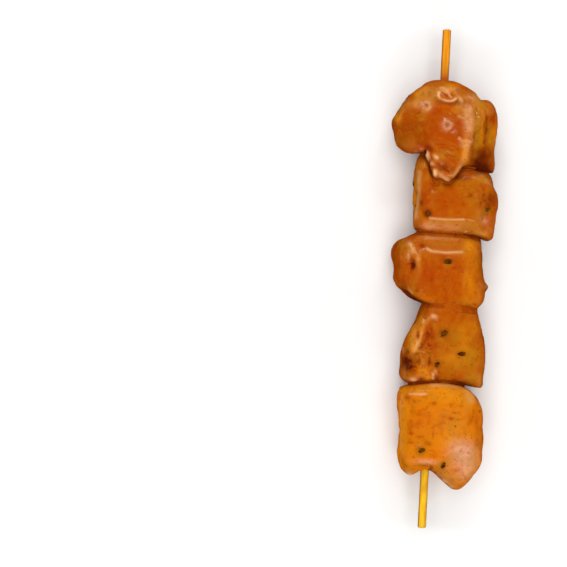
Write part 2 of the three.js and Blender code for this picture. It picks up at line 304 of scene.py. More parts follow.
# bore: the radius round the stick within which the meat keeps its plain form, and grip: how far it
# closes on the stick
stick = {"length": 180, "radius": 1.5, "bevel": 0.25, "bore": 1.8, "grip": 0.05}
seam = 0.2  # between neighbouring chunks
grid = {"around": 340, "along": 200}  # of each chunk's skin
# the clear film over meat, marinade and spices
wetFilm = {"Specular IOR Level": 0.0, "Coat Roughness": 0.08, "Coat IOR": 1.36}

# Where one chunk ends and the next begins: place y on the stick, slopes leanX and leanZ, and
# bulges of out millimetres round x, z, with half sizes wide and tall. Along x, opening is half the
# gap that marinade fills there, and shade how dark it and the meat beside it are painted: partly
# marinade pooled in the seam, partly painted shade where the neighbouring chunk shades it.
walls = [
    {"y": 71.3, "leanX": 0, "leanZ": 0, "bulges": [(17, -2, 9, 15, -6.2)]},
    {"y": 42.2, "leanX": -0.17, "leanZ": -0.1,
     "bulges": [(-6, 2, 4, 14, 2), (-3, 11, 2.4, 8, -6.6), (1.9, 11, 3.5, 8, -7)],
     "x": [-12, -5, 3, 8, 13, 20], "opening": [0.5, 0.8, 0.8, 0.6, 0.45, 0.4],
     "shade": [0.5, 0.3, 0.45, 0.9, 1, 0.8]},
    {"y": 16.5, "leanX": -0.02, "leanZ": -0.045, "bulges": [(20, 0, 5, 14, -2.8), (0, -10, 12, 6, 1.2)],
     "x": [-12, -4, 6, 16], "opening": [0.6, 0.8, 0.8, 0.7], "shade": [0.9, 0.8, 0.7, 0.8]},
    {"y": -9.8, "leanX": -0.02, "leanZ": 0, "bulges": [(-13, 2, 7, 14, 5.5)],
     "x": [-12, -5, 0, 8, 15], "opening": [0.4, 0.5, 1.4, 1.8, 1.7], "shade": [1, 0.9, 0.2, 0.05, 0.1]},
    {"y": -38.4, "leanX": 0.03, "leanZ": 0.07, "bulges": [(2.6, 13, 8, 8, 1), (20, 4, 5.5, 13, -2.6)],
     "x": [-12, -4, 4, 12, 19], "opening": [0.5, 0.5, 0.6, 0.6, 0.4], "shade": [0.3, 0.3, 0.4, 0.7, 1]},
    {"y": -68, "leanX": 0, "leanZ": 0, "bulges": [(-5.6, -1, 3.4, 11, -3.5), (11.5, -2, 7.2, 13, -8.4)]},
]

# left, right, up and down: reach of the meat from the stick, at even steps from the lower wall to
# the upper. squareness: exponents of the lower rim, the upper rim and the cross-section, and
# crown: those of both rims on the upper side, where neighbours press each other square.
# cuts: a point of a knife face, where it faces, softness. pushes: a point, half sizes, turn about
# Z in degrees, and the vector pushed. grain: which way the fibres run. film: masks all over.
# The marks on the upper side are placed in x, y as the camera sees them. folds: a path, how high
# it stands, half width, how pale it is painted, a painted highlight along it, and how smooth the
# meat is beside it. crumples: x, y, radius and height of creased spots. rings: bubble rims, as x, y
# and radius, whose rims are painted pale as highlights and whose middles are painted dark as shade.
# facets: mask name, which way the meat faces, and amount, a painted reflection on meat that faces
# that way. stains: by mask name, the x, y and z of each stain, its half sizes across, along and
# upwards, and its amount; most are the meat's and the marinade's own tones, and those that paint
# shade, highlights, sheen and lit rims are told at each chunk.
tongueChunk = {
    "name": "chicken_piece_1", "node": "chicken_chunk_1",
    "left": [17.8, 17.6, 17.9, 15.7, 12.6, 8.4], "right": [21.5, 19.2, 19.6, 19.9, 20, 20],
    "up": [13.6, 14.2, 14.4, 13.8, 12.4, 9.6], "down": [13.6, 14.4, 14.6, 14.4, 13.8, 12],
    "squareness": [4.5, 4, 2.8], "crown": [5, 4],
    "cuts": [((8.9, 48.6, 13.2), (0.66, -0.2, 0.66), 0.8),
             ((-9.3, 58.3, 13), (-0.3, 0.42, 0.86), 0.6)],
    "pushes": [
        ((0.4, 67, 10.5), (4.2, 3.2, 6), 0, (0, 0.4, 1.9)),
        ((0.4, 62.3, 13.5), (5.5, 1.3, 6), 0, (0, 0, -0.8)),
        ((13.2, 66, 6), (1.5, 2, 9), 0, (-1, -1, -0.8)),
        ((-14.1, 53.4, 13), (7, 9, 8), 0, (0, 0, -1.3)),
        ((-5.8, 45, 14), (2.4, 1.4, 5), -42, (0, 0, -0.8)),
        ((12.4, 41.8, 12), (5, 4, 8), 0, (0, 0, -2.5)),
        ((17.5, 41.5, 0), (3, 3, 12), 0, (0.6, -1.8, 0)),
    ],
    "grain": (0.82, -0.55, 0.12),
    "folds": [
        ([(-1.8, 67.4), (-1.8, 66.2), (-1.2, 65.3), (-0.2, 64.7), (1, 64.4), (2.4, 64.4),
          (3.5, 64.8), (4.3, 65.5)], 0.3, 0.42, 1.1, 0.35),
        ([(-1.2, 69.2), (1.6, 68.4), (4.6, 68.6)], 0.3, 0.9, 0.3, 0),
        ([(0, 66.8), (1.6, 66.2), (3, 66.6)], -0.35, 0.6, 0, 0),
        ([(0.4, 67.7), (1.8, 67.4), (2.6, 66)], 0.25, 0.5, 0.5, 0),
        ([(4.4, 67.4), (5.4, 65.6), (6.2, 64.8)], 0.25, 0.6, 0.4, 0),
        ([(5.4, 66.6), (6.6, 64.4), (8.2, 62.9)], 0.3, 0.7, 0.35, 0),
        ([(9.9, 62.8), (9.6, 61.6)], 0.3, 0.6, 0.3, 0),
        ([(11, 50.6), (9.6, 47.4), (8.8, 45), (8, 42.4), (6.4, 39.4), (4.8, 37.6)], 0.3, 0.9, 0.12, 0.6),
        ([(9, 61), (9.2, 57), (10, 53.6)], 0.25, 1.3, 0.2, 0),
        ([(12.2, 62), (12.2, 56), (12, 51)], -0.35, 0.6, 0, 0),
        ([(14.2, 63), (14.4, 56), (13.8, 48)], 0.2, 1.0, 0, 0),
        ([(15.6, 62), (16.2, 56), (15.8, 50)], -0.3, 0.5, 0, 0),
        ([(17.6, 61), (17.8, 55)], 0.15, 0.8, 0, 0),
        ([(-5, 45.4), (-4.4, 43.2)], 0.35, 0.6, 0.9, 0.8),
        ([(-2, 44.2), (-1.4, 43.9)], 0.3, 0.7, 0.8, 0.8),
        ([(-3, 41.6), (-2.7, 41.3)], 0.35, 0.55, 0.8, 0.6),
        ([(-1.8, 38.7), (-1.7, 37.6)], 0.4, 0.75, 1.3, 0.6),
        ([(0.5, 37.1), (1.8, 36.6), (3.2, 35.8)], 0.35, 0.8, 0.7, 0.4),
        ([(4.6, 37.4), (6, 39), (7, 40.6)], 0.2, 0.7, 0.3, 0.4),
        ([(-3.4, 43.8), (0, 41), (3, 38.8)], -0.4, 0.7, 0, 0),
        ([(6.6, 51), (7.4, 50.2)], 0.25, 0.6, 0.5, 0),
        ([(9, 50.4), (10.2, 49.8)], 0.25, 0.6, 0.5, 0),
        ([(5.8, 59), (7.6, 58.2)], 0.25, 0.7, 0.45, 0),
    ],
    "crumples": [(8, 63, 4, 0.25), (2.4, 68, 3.4, 0.2), (-3, 43, 3, 0.3), (7.6, 49.6, 2.6, 0.2),
                 (13.6, 55, 4, 0.15), (4.6, 53.6, 1.8, 0.2)],
    "rings": [(-6, 62.5, 1.4), (1.8, 55.6, 1.3), (8.3, 49.3, 1)],
    "facets": [("tan", (-0.3, 0.42, 0.86), 0.75)],
    # Among these stains the dark ones in the valley under the right flap are painted shade, and the tan on
    # the upper-left facet, the gold along the right ridge, and the cream and pale pink spots on bubble
    # rims and the tongue's edge are painted highlights and sheen; the rest are own tones.
    "stains": {
        "tan": [
            (-15.6, 62, 5, 2, 4, 9, 0.7), (-5, 68.6, 9, 5, 2.4, 8, 0.5), (7.6, 62.4, 11, 3.4, 3, 8, 0.5),
            (9.6, 58.4, 12, 1.9, 5, 8, 0.9), (-12, 62.8, 8, 4.5, 2, 9, 0.7),
            (0.4, 44.6, 12, 1.5, 1.4, 5, 0.6), (5.4, 38.2, 11, 1, 1.2, 5, 0.8),
            (-0.6, 38.8, 11, 1, 1, 5, 0.8), (15.6, 62, 6, 2.6, 1.6, 8, 0.7), (12.6, 64, 8, 2, 1.4, 8, 0.6),
        ],
        "olive": [
            (-6, 66.4, 10, 4, 1.4, 8, 0.5), (13, 56, 7, 1.7, 9, 10, 1), (11, 65.4, 8, 6, 2.4, 8, 0.8),
            (17.6, 53, 4, 1, 4, 9, 0.5), (-10, 58.6, 12, 4, 1.4, 7, 0.35), (18, 50, 2, 1, 4, 9, 0.7),
            (-8.6, 45.6, 9, 1.4, 1.2, 6, 0.6), (12.8, 56, 8, 0.7, 8, 9, 0.9), (17, 56, 3, 0.7, 5, 9, 0.8),
            (6.6, 65.4, 10, 1.6, 1, 6, 0.6),
        ],
        "flesh": [
            (-8.6, 62.4, 11, 1.4, 1.2, 6, 0.3), (9.3, 57, 12, 1.4, 4, 8, 0.25),
            (9, 61.6, 12, 1.8, 1.6, 6, 0.3), (-6, 62.5, 11, 2.2, 2, 6, 0.4),
            (1.8, 55.6, 13, 1.9, 1.9, 6, 0.5), (4.6, 53.4, 13, 0.8, 0.8, 5, 0.4),
            (10, 66, 8, 2, 1.4, 8, 0.4), (9.6, 57, 12, 1.8, 4, 8, 0.35), (-7, 46.6, 9, 0.8, 0.6, 6, 0.5),
            (-9, 45.8, 8, 0.6, 0.5, 6, 0.4),
        ],
        "brown": [
            (16.2, 55, 5, 1.2, 6, 9, 0.6), (-11, 52.6, 11, 7.6, 6.6, 9, 1), (-11, 48.4, 10, 5, 2, 8, 0.7),
            (14.6, 45.6, 5, 4.4, 2.8, 10, 1), (15.6, 46, 5, 3.4, 2.4, 9, 0.7),
            (11.6, 58, 10, 0.6, 5, 8, 0.9), (15.6, 57, 5, 0.6, 5, 9, 0.9), (3, 57.6, 13, 3.4, 2.4, 7, 0.5),
            (-11, 51, 11, 6, 4, 9, 0.5), (16, 49, 3, 2.6, 3, 9, 0.7),
        ],
        "gold": [
            (8.9, 45.6, 12, 1.4, 5.2, 7, 1.3), (6.4, 39.4, 11, 1.2, 2.6, 7, 1),
            (8.4, 48.8, 13, 1, 1, 6, 0.5), (4, 60.6, 13, 3, 1.6, 6, 0.25),
            (-16.2, 57.6, 6, 1.2, 1.6, 8, 0.6), (18.8, 54, 0, 1.1, 4, 9, 0.9),
            (-16.4, 58.2, 5, 0.9, 1, 8, 0.8), (14.4, 55, 6, 0.7, 7, 9, 0.8),
            (2.6, 69.4, 8, 3.4, 1.6, 7, 1), (-9.4, 66.6, 9, 2, 1.2, 7, 0.9),
            (-16.6, 57.6, 6, 1, 1.4, 8, 0.8),
        ],
        "deep": [
            (13, 40, 6, 4.8, 3.4, 10, 0.8), (17, 39.6, 4, 3.4, 3.8, 10, 0.6),
            (-6.3, 44, 9, 1.2, 1.2, 6, 1), (1, 40.4, 12, 2.4, 1.1, 5, 0.5), (4.6, 39.4, 11, 1, 1, 5, 0.5),
            (5.2, 68.6, 9, 0.8, 0.6, 6, 0.5), (-4, 66.4, 11, 2.4, 1.5, 7, 0.22),
            (15, 46, 4, 3, 2.2, 9, 0.45), (-6, 62.5, 11, 0.6, 0.6, 6, 0.35),
            (15, 45.4, 5, 3.6, 2, 9, 0.42),
        ],
        "red": [
            (-2.2, 40.1, 11, 0.8, 0.6, 5, 1.2), (-3.8, 42.4, 11, 0.8, 0.6, 5, 1.2),
            (17.8, 60, 4, 1.4, 3.4, 8, 0.8), (6.2, 55.4, 13, 1.2, 2.6, 5, 0.6),
            (-1.6, 60.4, 13, 3.4, 1.3, 5, 0.4), (3.6, 42.4, 12, 1.6, 1.1, 5, 0.9),
            (-4.6, 47.2, 11, 1.4, 1, 5, 1), (-7.6, 47.6, 10, 2, 0.9, 6, 0.6),
            (3, 41.2, 12, 3, 2.2, 7, 0.9), (-1, 52, 13, 9, 7, 8, 0.25), (-9, 46.4, 9, 3, 1, 7, 0.6),
        ],
        "cream": [
            (-4.8, 44.6, 10, 0.6, 1, 5, 0.4), (8.3, 49.3, 12, 1.4, 1.3, 6, 0.2), (9, 46, 11, 1, 3, 7, 0.1),
            (7.4, 42, 11, 0.9, 2.6, 7, 0.06),
        ],
        "dull": [
            (0, 61.8, 13, 7, 1.6, 9, 1.4), (9, 60, 12, 3, 4, 9, 1.2), (-10, 46, 9, 6, 2.6, 9, 1),
            (12, 66.6, 6, 6, 2, 9, 1),
        ],
        "spot": [
            (15, 46, 5, 3, 2, 9, 0.5), (17.6, 60, 4, 1.2, 3, 8, 0.3), (-11.4, 50, 11, 1, 0.6, 6, 0.5),
            (-7, 54.4, 12, 0.6, 0.5, 6, 0.6), (-9.6, 58, 11, 0.9, 0.5, 6, 0.6),
            (-13.4, 57, 9, 0.7, 0.5, 6, 0.5), (4.7, 68.4, 9, 0.7, 0.6, 6, 1),
            (13, 60, 7, 0.8, 0.6, 6, 0.8), (-3.6, 57, 13, 0.5, 0.5, 6, 0.5),
        ],
    },
    "film": {},
}
squareChunk = {
    "name": "chicken_piece_2", "node": "chicken_chunk_2",
    "left": [8.9, 8.5, 8.5, 8.6, 8.9, 9.8], "right": [21.2, 20.5, 20.6, 20.8, 19.3, 20.5],
    "up": [12, 12.5, 12.4, 12.1, 11.8, 11.4], "down": [12.4, 13.4, 13.8, 13.6, 13.2, 12.4],
    "squareness": [7, 4.5, 3.3], "crown": [9, 5],
    "cuts": [((14, 28.3, 11), (0.66, 0, 0.75), 1.2), ((0, 22.4, 12.9), (0.02, -0.5, 0.86), 0.7)],
    "pushes": [
        ((19.5, 30, 3), (4, 4.2, 6), 0, (0.6, 0, -0.3)),
        ((-6.2, 36, 12), (3, 6, 5), 0, (0, 0, -0.8)),
        ((14.4, 35.9, 8), (4, 2.4, 7), 0, (0, 0.3, 1.2)),
        ((18, 39.5, 0), (3, 2.5, 12), 0, (0.8, 1.2, 0)),
    ],
    "grain": (0.98, 0.1, 0.16),
    "folds": [
        ([(-2.6, 21.8), (3, 21.6), (9.6, 21.9)], 0.26, 0.48, 0.42, 1),
        ([(-7.5, 38), (-7.6, 33), (-7.8, 28), (-8.1, 22)], 0.2, 0.9, 0.45, 0.4),
        ([(12.6, 38), (15.2, 38.2), (18, 35)], 0.2, 1.1, 0.12, 0),
        ([(16.6, 33), (17, 28), (16.4, 23)], -0.3, 1.0, 0, 0),
        ([(14.6, 17.6), (17, 17), (18.6, 18.4)], 0.12, 0.8, 0.15, 0),
    ],
    "crumples": [(17.4, 29, 3, 0.25), (-6, 40, 2, 0.15)],
    "rings": [],
    "facets": [("tan", (0.02, -0.5, 0.86), 0.7)],
    # Among these stains the pink band under the highlight line is a painted sheen, the tan and gold along
    # the left rim a painted lit rim, and the brown on the right edge painted shade; the rest are own
    # tones.
    "stains": {
        "flesh": [
            (-3, 19, 11, 2.8, 1.2, 6, 0.5), (4, 19, 11, 5, 1.2, 6, 0.25), (17, 21.8, 7, 1.6, 1.8, 6, 0.5),
        ],
        "gold": [
            (1, 20.8, 12, 9, 0.6, 6, 0.4), (-8.6, 31, 0, 2, 12, 9, 0.8), (6, 25.4, 13, 5, 2.4, 6, 0.3),
            (-6.4, 22.6, 10, 1.4, 2.4, 8, 0.7), (-3.8, 37, 11, 1.4, 2.4, 7, 0.4),
            (18, 33, 4, 1.6, 1.4, 8, 0.7), (17.2, 16.4, 6, 1.6, 1.2, 8, 0.5),
        ],
        "brown": [
            (12, 18.4, 9, 3, 1, 7, 0.5), (-4.8, 38, 11, 3, 2.4, 7, 0.8),
            (14.8, 27.8, 10, 0.8, 0.8, 6, 0.8), (17.6, 30, 5, 3, 3.4, 9, 1.3), (2, 34.2, 12, 3, 1, 6, 0.4),
            (11.4, 18.8, 9, 3, 1.2, 7, 1),
        ],
        "tan": [(-7.6, 30, 8, 0.9, 10, 7, 1.3)],
        "deep": [
            (-3.6, 23.4, 12, 1.3, 1.2, 6, 1.3), (8, 37, 10, 2.6, 1, 6, 0.5),
            (11.4, 30.8, 12, 0.9, 0.9, 6, 0.45), (-6, 27.3, 10, 0.8, 0.8, 6, 0.5),
            (17.6, 26, 7, 1.3, 1.5, 7, 0.4), (6.4, 36.8, 11, 1.8, 0.9, 6, 0.4),
            (18.8, 30.4, 4, 1.8, 3, 8, 0.5),
        ],
        "spot": [
            (11.4, 30.6, 12, 0.9, 0.8, 6, 0.8), (-6, 27.2, 10, 0.7, 0.9, 6, 1),
            (9.4, 27.3, 12, 0.8, 1, 6, 0.4), (18, 29.6, 5, 2.2, 3, 9, 0.7), (11, 17, 8, 5, 0.9, 7, 0.4),
            (-5, 38, 10, 1.6, 1.6, 8, 0.5), (11.4, 18.4, 9, 2.4, 1, 7, 0.25),
            (-3.6, 23.4, 12, 1.4, 1.3, 6, 0.6),
        ],
        "dull": [
            (17.6, 22.5, 7, 2, 2.4, 8, 1.5), (2, 32.4, 12, 5, 2.4, 9, 1.5), (-8, 17.4, 8, 3, 2, 9, 1),
            (1, 19, 11, 10, 1.8, 9, 2.5), (17, 20, 7, 3, 4, 9, 1.2), (12, 38.6, 9, 7, 1.6, 9, 0.8),
            (-5, 38, 10, 2, 2.4, 8, 1.4),
        ],
        "olive": [
            (17.8, 25.6, 7, 1.8, 1.4, 7, 0.9), (14.6, 36.8, 8, 4, 1.8, 8, 0.9),
            (-6.6, 40.4, 8, 1.6, 2.6, 8, 0.8), (16.4, 24, 7, 2.6, 2.4, 8, 0.6), (12, 29, 12, 3, 7, 6, 0.4),
        ],
        "red": [
            (9.6, 37.4, 10, 3.2, 1.5, 6, 1.1), (-4, 31, 12, 2, 5, 6, 0.6), (1, 27, 13, 4.6, 4, 6, 0.4),
            (9.5, 27.4, 12, 1, 1, 6, 0.7),
        ],
    },
    "film": {"brown": 0.05},
}
wideChunk = {
    "name": "chicken_piece_3", "node": "chicken_chunk_3",
    "left": [12.5, 14.4, 14.6, 15.4, 14.4, 10], "right": [18.5, 18.5, 17.2, 16.6, 16.8, 18],
    "up": [12.2, 12.9, 13.4, 13.4, 12.8, 12], "down": [13.8, 14.6, 14.9, 14.9, 14.4, 13.4],
    "squareness": [6, 4, 3.1], "crown": [13, 9],
    "cuts": [((0, 8, 13.6), (0, 0.46, 0.89), 0.7), ((-10.7, 3.8, 12.2), (-0.58, 0.1, 0.8), 1)],
    "pushes": [
        ((19, -1.7, 2), (3, 1.6, 4), 0, (2.3, -0.2, 0)),
        ((-8.8, 7.7, 12.5), (1.8, 4.6, 6), 24, (0, 0, 0.9)),
        ((-9.2, 3.8, 12), (1.6, 2, 5), 0, (0, 0, -1)),
        ((9.2, 1.8, 13), (1.2, 9, 5), 0, (0, 0, 0.25)),
        ((14.6, 14.2, 0), (2.6, 2.6, 12), 0, (1.1, 0.9, 0)),
        ((13.6, -8.8, 0), (2.6, 2.2, 12), 0, (0.8, -0.8, 0)),
    ],
    "grain": (0.25, 0.95, 0.18),
    "folds": [
        ([(-3.2, 10.7), (-1.6, 9.9), (3.6, 9.6), (9.4, 10.1)], 0.28, 0.55, 0.5, 1),
        ([(-9.6, 12.5), (-8.4, 10.9), (-8.2, 9.6)], 0.35, 0.9, 0.5, 0.3),
        ([(-11, 12.9), (-10.4, 11.6)], 0.3, 0.7, 0.3, 0),
        ([(-9.8, 9.4), (-10.2, 7.2)], 0.25, 0.8, 0.2, 0),
        ([(-7.6, 9.4), (-7.2, 8.8)], 0.25, 0.6, 0.35, 0),
        ([(-6.1, 8.2), (-5.8, 6.6), (-5.9, 5)], 0.3, 0.8, 0.1, 0),
        ([(-11.4, 12), (-11, 8.6), (-11.6, 5.4)], -0.25, 0.9, 0, 0),
        ([(-9.2, -4.3), (-7.8, -5.6)], 0.25, 0.7, 0.3, 0),
        ([(16.8, -1.6), (19.2, -1.9)], 0.1, 0.9, 0.15, 0),
    ],
    "crumples": [(-9.4, 8.4, 3.6, 0.3), (-8.6, 4, 2, 0.25), (16, -1, 3, 0.15), (-6, -5, 3, 0.12)],
    "rings": [],
    "facets": [("tan", (0, 0.46, 0.89), 0.3)],
    # Among these stains the tan and pink band along the upper rim is a painted sheen and the brown on the
    # right edge painted shade; the rest are own tones.
    "stains": {
        "tan": [
            (1, 14.6, 10, 6.4, 0.7, 6, 0.8), (-8.8, 11, 10, 1.2, 2.2, 7, 0.5),
            (5, 7.8, 13, 1.2, 0.5, 5, 0.6),
        ],
        "flesh": [(0, 14.7, 10, 5, 0.6, 6, 0.35)],
        "olive": [
            (2, 12.8, 11, 6, 0.7, 6, 0.6), (15, 5, 5, 1.6, 8, 9, 0.5), (-11, 11, 8, 2.6, 3, 7, 0.5),
            (-11.4, 3, 7, 1.6, 3, 7, 0.5), (4.6, 5.6, 13, 1.8, 1.4, 5, 0.6),
        ],
        "gold": [
            (12, 12.4, 10, 2, 2.6, 7, 1), (12.6, 2, 10, 2.8, 9, 8, 0.7), (14, -6, 8, 3, 4, 8, 0.5),
            (-3.4, -7.4, 10, 2.6, 1.2, 6, 0.5), (-5.8, 6.6, 11, 0.8, 2, 5, 0.9),
        ],
        "brown": [
            (15.2, 12.4, 5, 1.2, 3.4, 8, 1), (13, -7, 8, 2, 2, 8, 0.4), (16.6, 6, 3, 0.9, 5, 8, 0.6),
            (-8.6, 6.6, 11, 1, 0.9, 5, 0.9), (-12.6, 6, 4, 3, 6, 9, 0.4), (-8, -3, 9, 4, 2.4, 7, 0.4),
        ],
        "red": [
            (-9, -2, 9, 2.4, 1.6, 7, 0.6), (2, 4.1, 13, 0.9, 0.7, 5, 0.9),
            (7.1, 4.2, 13, 0.9, 0.7, 5, 0.9), (-8.4, 0.4, 10, 2.6, 2, 7, 0.5),
            (6.4, 8.2, 13, 3, 0.8, 5, 0.4), (-1, 1, 13, 3, 5, 6, 0.3), (-0.9, -0.3, 13, 0.7, 1.6, 5, 0.7),
        ],
        "spot": [
            (4.8, 3.6, 13, 3.4, 1.4, 6, 0.25), (-0.9, -0.6, 13, 0.5, 1.3, 6, 0.7),
            (-6.2, -4.6, 10, 0.8, 0.6, 5, 0.9), (-5, 11.6, 11, 1, 0.8, 5, 0.6),
            (-8.4, -0.4, 10, 2, 1.4, 6, 0.3),
        ],
        "cream": [(-9.6, 7.8, 11, 0.5, 1.6, 6, 0.2), (-6.4, 7, 11, 0.6, 1.4, 6, 0.2)],
        "deep": [
            (4.5, 6.5, 13, 2, 1.1, 5, 0.5), (-7.8, 4.6, 11, 0.9, 1.5, 5, 1.2),
            (-5, 11.6, 11, 1.1, 0.8, 5, 0.5), (-6.2, -4.6, 10, 0.8, 0.6, 5, 0.5),
        ],
        "dull": [(4, -7.6, 12, 14, 2.6, 9, 1.6), (-6, 11.2, 11, 2.4, 1.6, 9, 1), (-9, 14, 8, 4, 2, 9, 1)],
    },
    "film": {"red": 0.1},
}
ridgedChunk = {
    "name": "chicken_piece_4", "node": "chicken_chunk_4",
    "left": [12, 10.8, 10.4, 7.9, 5.2, 4.2], "right": [20.5, 19.3, 19.3, 19, 17.3, 15.6],
    "up": [11, 11.9, 12.2, 12.3, 12.5, 12.2], "down": [12.6, 13.2, 13.4, 13.4, 13.2, 12.8],
    "squareness": [4, 6, 3], "crown": [9, 13],
    "cuts": [((12.9, -23.5, 11), (0.58, 0, 0.81), 1.4)],
    "pushes": [
        ((-5.4, -20.1, 11.5), (1.9, 5.8, 6), -14, (-0.3, 0, 1.5)),
        ((-2.2, -19.1, 12.5), (1.3, 5, 5), -14, (0, 0, -0.7)),
        ((-7.3, -30.9, 9), (3.8, 3, 7), 0, (0.6, 0, -2.8)),
        ((-6.4, -35.4, 9.5), (3.4, 1.1, 5), 20, (0, 0, 1.1)),
        ((0, -13.4, 12.4), (1.6, 1.2, 4), 0, (0, 0, 0.8)),
        ((-0.1, -33.3, 11.5), (1.6, 2.2, 5), 0, (0, 0, 0.9)),
        ((14.2, -11.2, 0), (2.6, 2.2, 12), 0, (1, 0.7, 0)),
        ((17.4, -36.8, 0), (2.4, 2.6, 12), 0, (1.1, -1.3, 0)),
    ],
    "grain": (0.36, 0.9, -0.2),
    "folds": [
        ([(-5.2, -14.6), (-6.3, -19), (-6.9, -23.6), (-6.1, -26.8)], 0.35, 1.0, 0, 0),
        ([(-3.4, -15.2), (-3.1, -15.9)], 0.3, 0.6, 0.55, 0.2),
        ([(-3.4, -17.2), (-3.6, -20.4)], 0.25, 0.42, 0.45, 0),
        ([(-4.1, -21.8), (-5, -24), (-5.8, -26)], 0.3, 0.8, 0.4, 0.1),
        ([(0.2, -13.4), (1, -13.7)], 0.3, 0.75, 0.6, 0.6),
        ([(-1.2, -14), (-3, -15.4)], 0.25, 0.8, 0.3, 0),
        ([(-4.9, -19.6), (-5.1, -21.8)], -0.35, 0.6, 0, 0),
        ([(-1.4, -17), (-2, -21), (-3.4, -25.4), (-4.4, -28)], -0.45, 0.7, 0, 0),
        ([(-10.2, -25.8), (-9.8, -27)], 0.3, 0.6, 0.6, 0),
        ([(1.1, -34.7), (1.2, -35.6)], 0.35, 0.65, 1.2, 0.1),
        ([(2, -33), (2.3, -34)], 0.3, 0.7, 0.45, 0),
        ([(-6.4, -36.5), (-5, -37.2)], 0.35, 0.6, 0.5, 0),
        ([(-2.8, -30), (-2.4, -32.6)], 0.25, 0.7, 0.12, 0),
        ([(0.2, -28.6), (-0.6, -31)], -0.3, 0.7, 0, 0),
        ([(-9.4, -32), (-9.4, -36.6)], 0.2, 0.9, 0.15, 0), ([(16.2, -27), (15, -31.6)], 0, 1.2, 0, 0.7),
    ],
    "crumples": [(-5, -20, 4, 0.3), (-6, -30, 4.4, 0.4), (0.6, -33.6, 2.6, 0.25), (-0.6, -25, 3, 0.25)],
    "rings": [],
    "facets": [],
    # Among these stains the gold, warm and cream along the left ridge are partly painted highlights and a
    # painted lit rim, the tan on the left rim a painted lit rim, and the darkest ones in the pit below the
    # ridge painted shade; the rest are own tones.
    "stains": {
        "gold": [
            (-6.4, -20, 9, 1.6, 5, 7, 1), (-6.2, -25, 8, 1.4, 2.4, 7, 1.2),
            (-4, -18.6, 11, 0.9, 4.6, 6, 0.9), (-4.4, -14.6, 9, 2.4, 1.6, 7, 0.8),
            (-3.4, -34, 9, 1.4, 1.4, 7, 0.6), (13, -22, 11, 4, 7, 7, 0.4),
            (-0.4, -35.4, 10, 0.9, 1.4, 6, 0.9), (7, -28, 12, 4, 2.4, 6, 0.4),
            (-1.4, -33.4, 10, 1.6, 3, 6, 0.7), (15.6, -16, 7, 1.6, 2, 7, 0.3),
        ],
        "cream": [(-6.2, -20.6, 9, 1.3, 5, 7, 0.08)],
        "warm": [
            (-6.4, -20, 9, 1.6, 6, 7, 0.6), (-4, -32, 9, 1.8, 2.4, 7, 0.8), (-6, -21, 9, 2, 6, 8, 0.8),
        ],
        "spot": [
            (0.6, -24.6, 12, 1.6, 2.2, 6, 0.3), (-4.9, -20.8, 10, 0.6, 1.3, 6, 1),
            (-7.4, -31.6, 8, 2.8, 3, 8, 0.9), (-1.2, -20.6, 12, 0.9, 2.4, 6, 0.35),
            (2.8, -36.2, 9, 1.2, 1, 8, 1.3),
        ],
        "deep": [
            (-4.9, -20.8, 10, 0.6, 1.3, 6, 0.25), (-4.2, -25.2, 10, 0.8, 0.6, 5, 0.7),
            (0.5, -21, 12, 0.8, 1.1, 5, 0.5), (-8.3, -26.8, 6, 0.9, 0.9, 6, 0.7),
            (-9, -30.6, 7, 2.4, 2.8, 8, 1), (-6, -29.4, 9, 2, 1.2, 6, 0.3),
            (-7.4, -33, 7, 1.8, 1.4, 6, 0.3), (-0.2, -30.2, 11, 0.7, 0.9, 5, 0.8),
            (-3, -36.3, 9, 0.8, 0.7, 5, 0.9), (2.8, -36.2, 9, 1, 0.8, 8, 0.5),
            (4.5, -19.6, 12, 2, 1.5, 5, 0.6), (11.4, -26.6, 11, 2, 1, 6, 0.6),
            (2.6, -31, 11, 1.4, 1.3, 5, 0.5),
        ],
        "olive": [
            (14.8, -26, 9, 2.6, 6, 8, 0.6), (9, -20, 12, 6, 5, 6, 0.45), (10, -29, 11, 7, 4, 7, 0.6),
            (3.4, -22, 12, 1.4, 1.6, 5, 0.8), (15, -35.4, 7, 2.8, 2, 7, 0.8),
        ],
        "brown": [
            (8.6, -21, 12, 2.4, 2.4, 7, 0.6), (9, -36, 10, 5, 1.2, 7, 0.5), (-8.4, -14, 3, 2.6, 8, 9, 0.5),
        ],
        "tan": [
            (-9.4, -35, 5, 0.8, 2.6, 10, 1.3), (-2.2, -31.4, 10, 0.8, 1.6, 5, 0.6),
            (18, -35.8, 3, 0.9, 2, 8, 0.7),
        ],
        "flesh": [(-6, -36.8, 8, 1.6, 0.8, 6, 0.5)],
        "red": [
            (-0.8, -21, 12, 1.8, 5, 6, 0.8), (0.6, -25.6, 12, 3, 3, 6, 0.5), (-1, -30, 11, 1.6, 2, 6, 0.6),
            (17.8, -20, 3, 1.2, 2.6, 8, 0.8),
        ],
        "dull": [
            (7, -33, 11, 8, 2.4, 9, 1.5), (6, -12.6, 12, 12, 1.6, 9, 1.4), (-7, -30.6, 8, 4, 4, 9, 1),
            (-5, -38, 8, 4, 1.4, 9, 0.8),
        ],
    },
    "film": {"olive": 0.08},
}
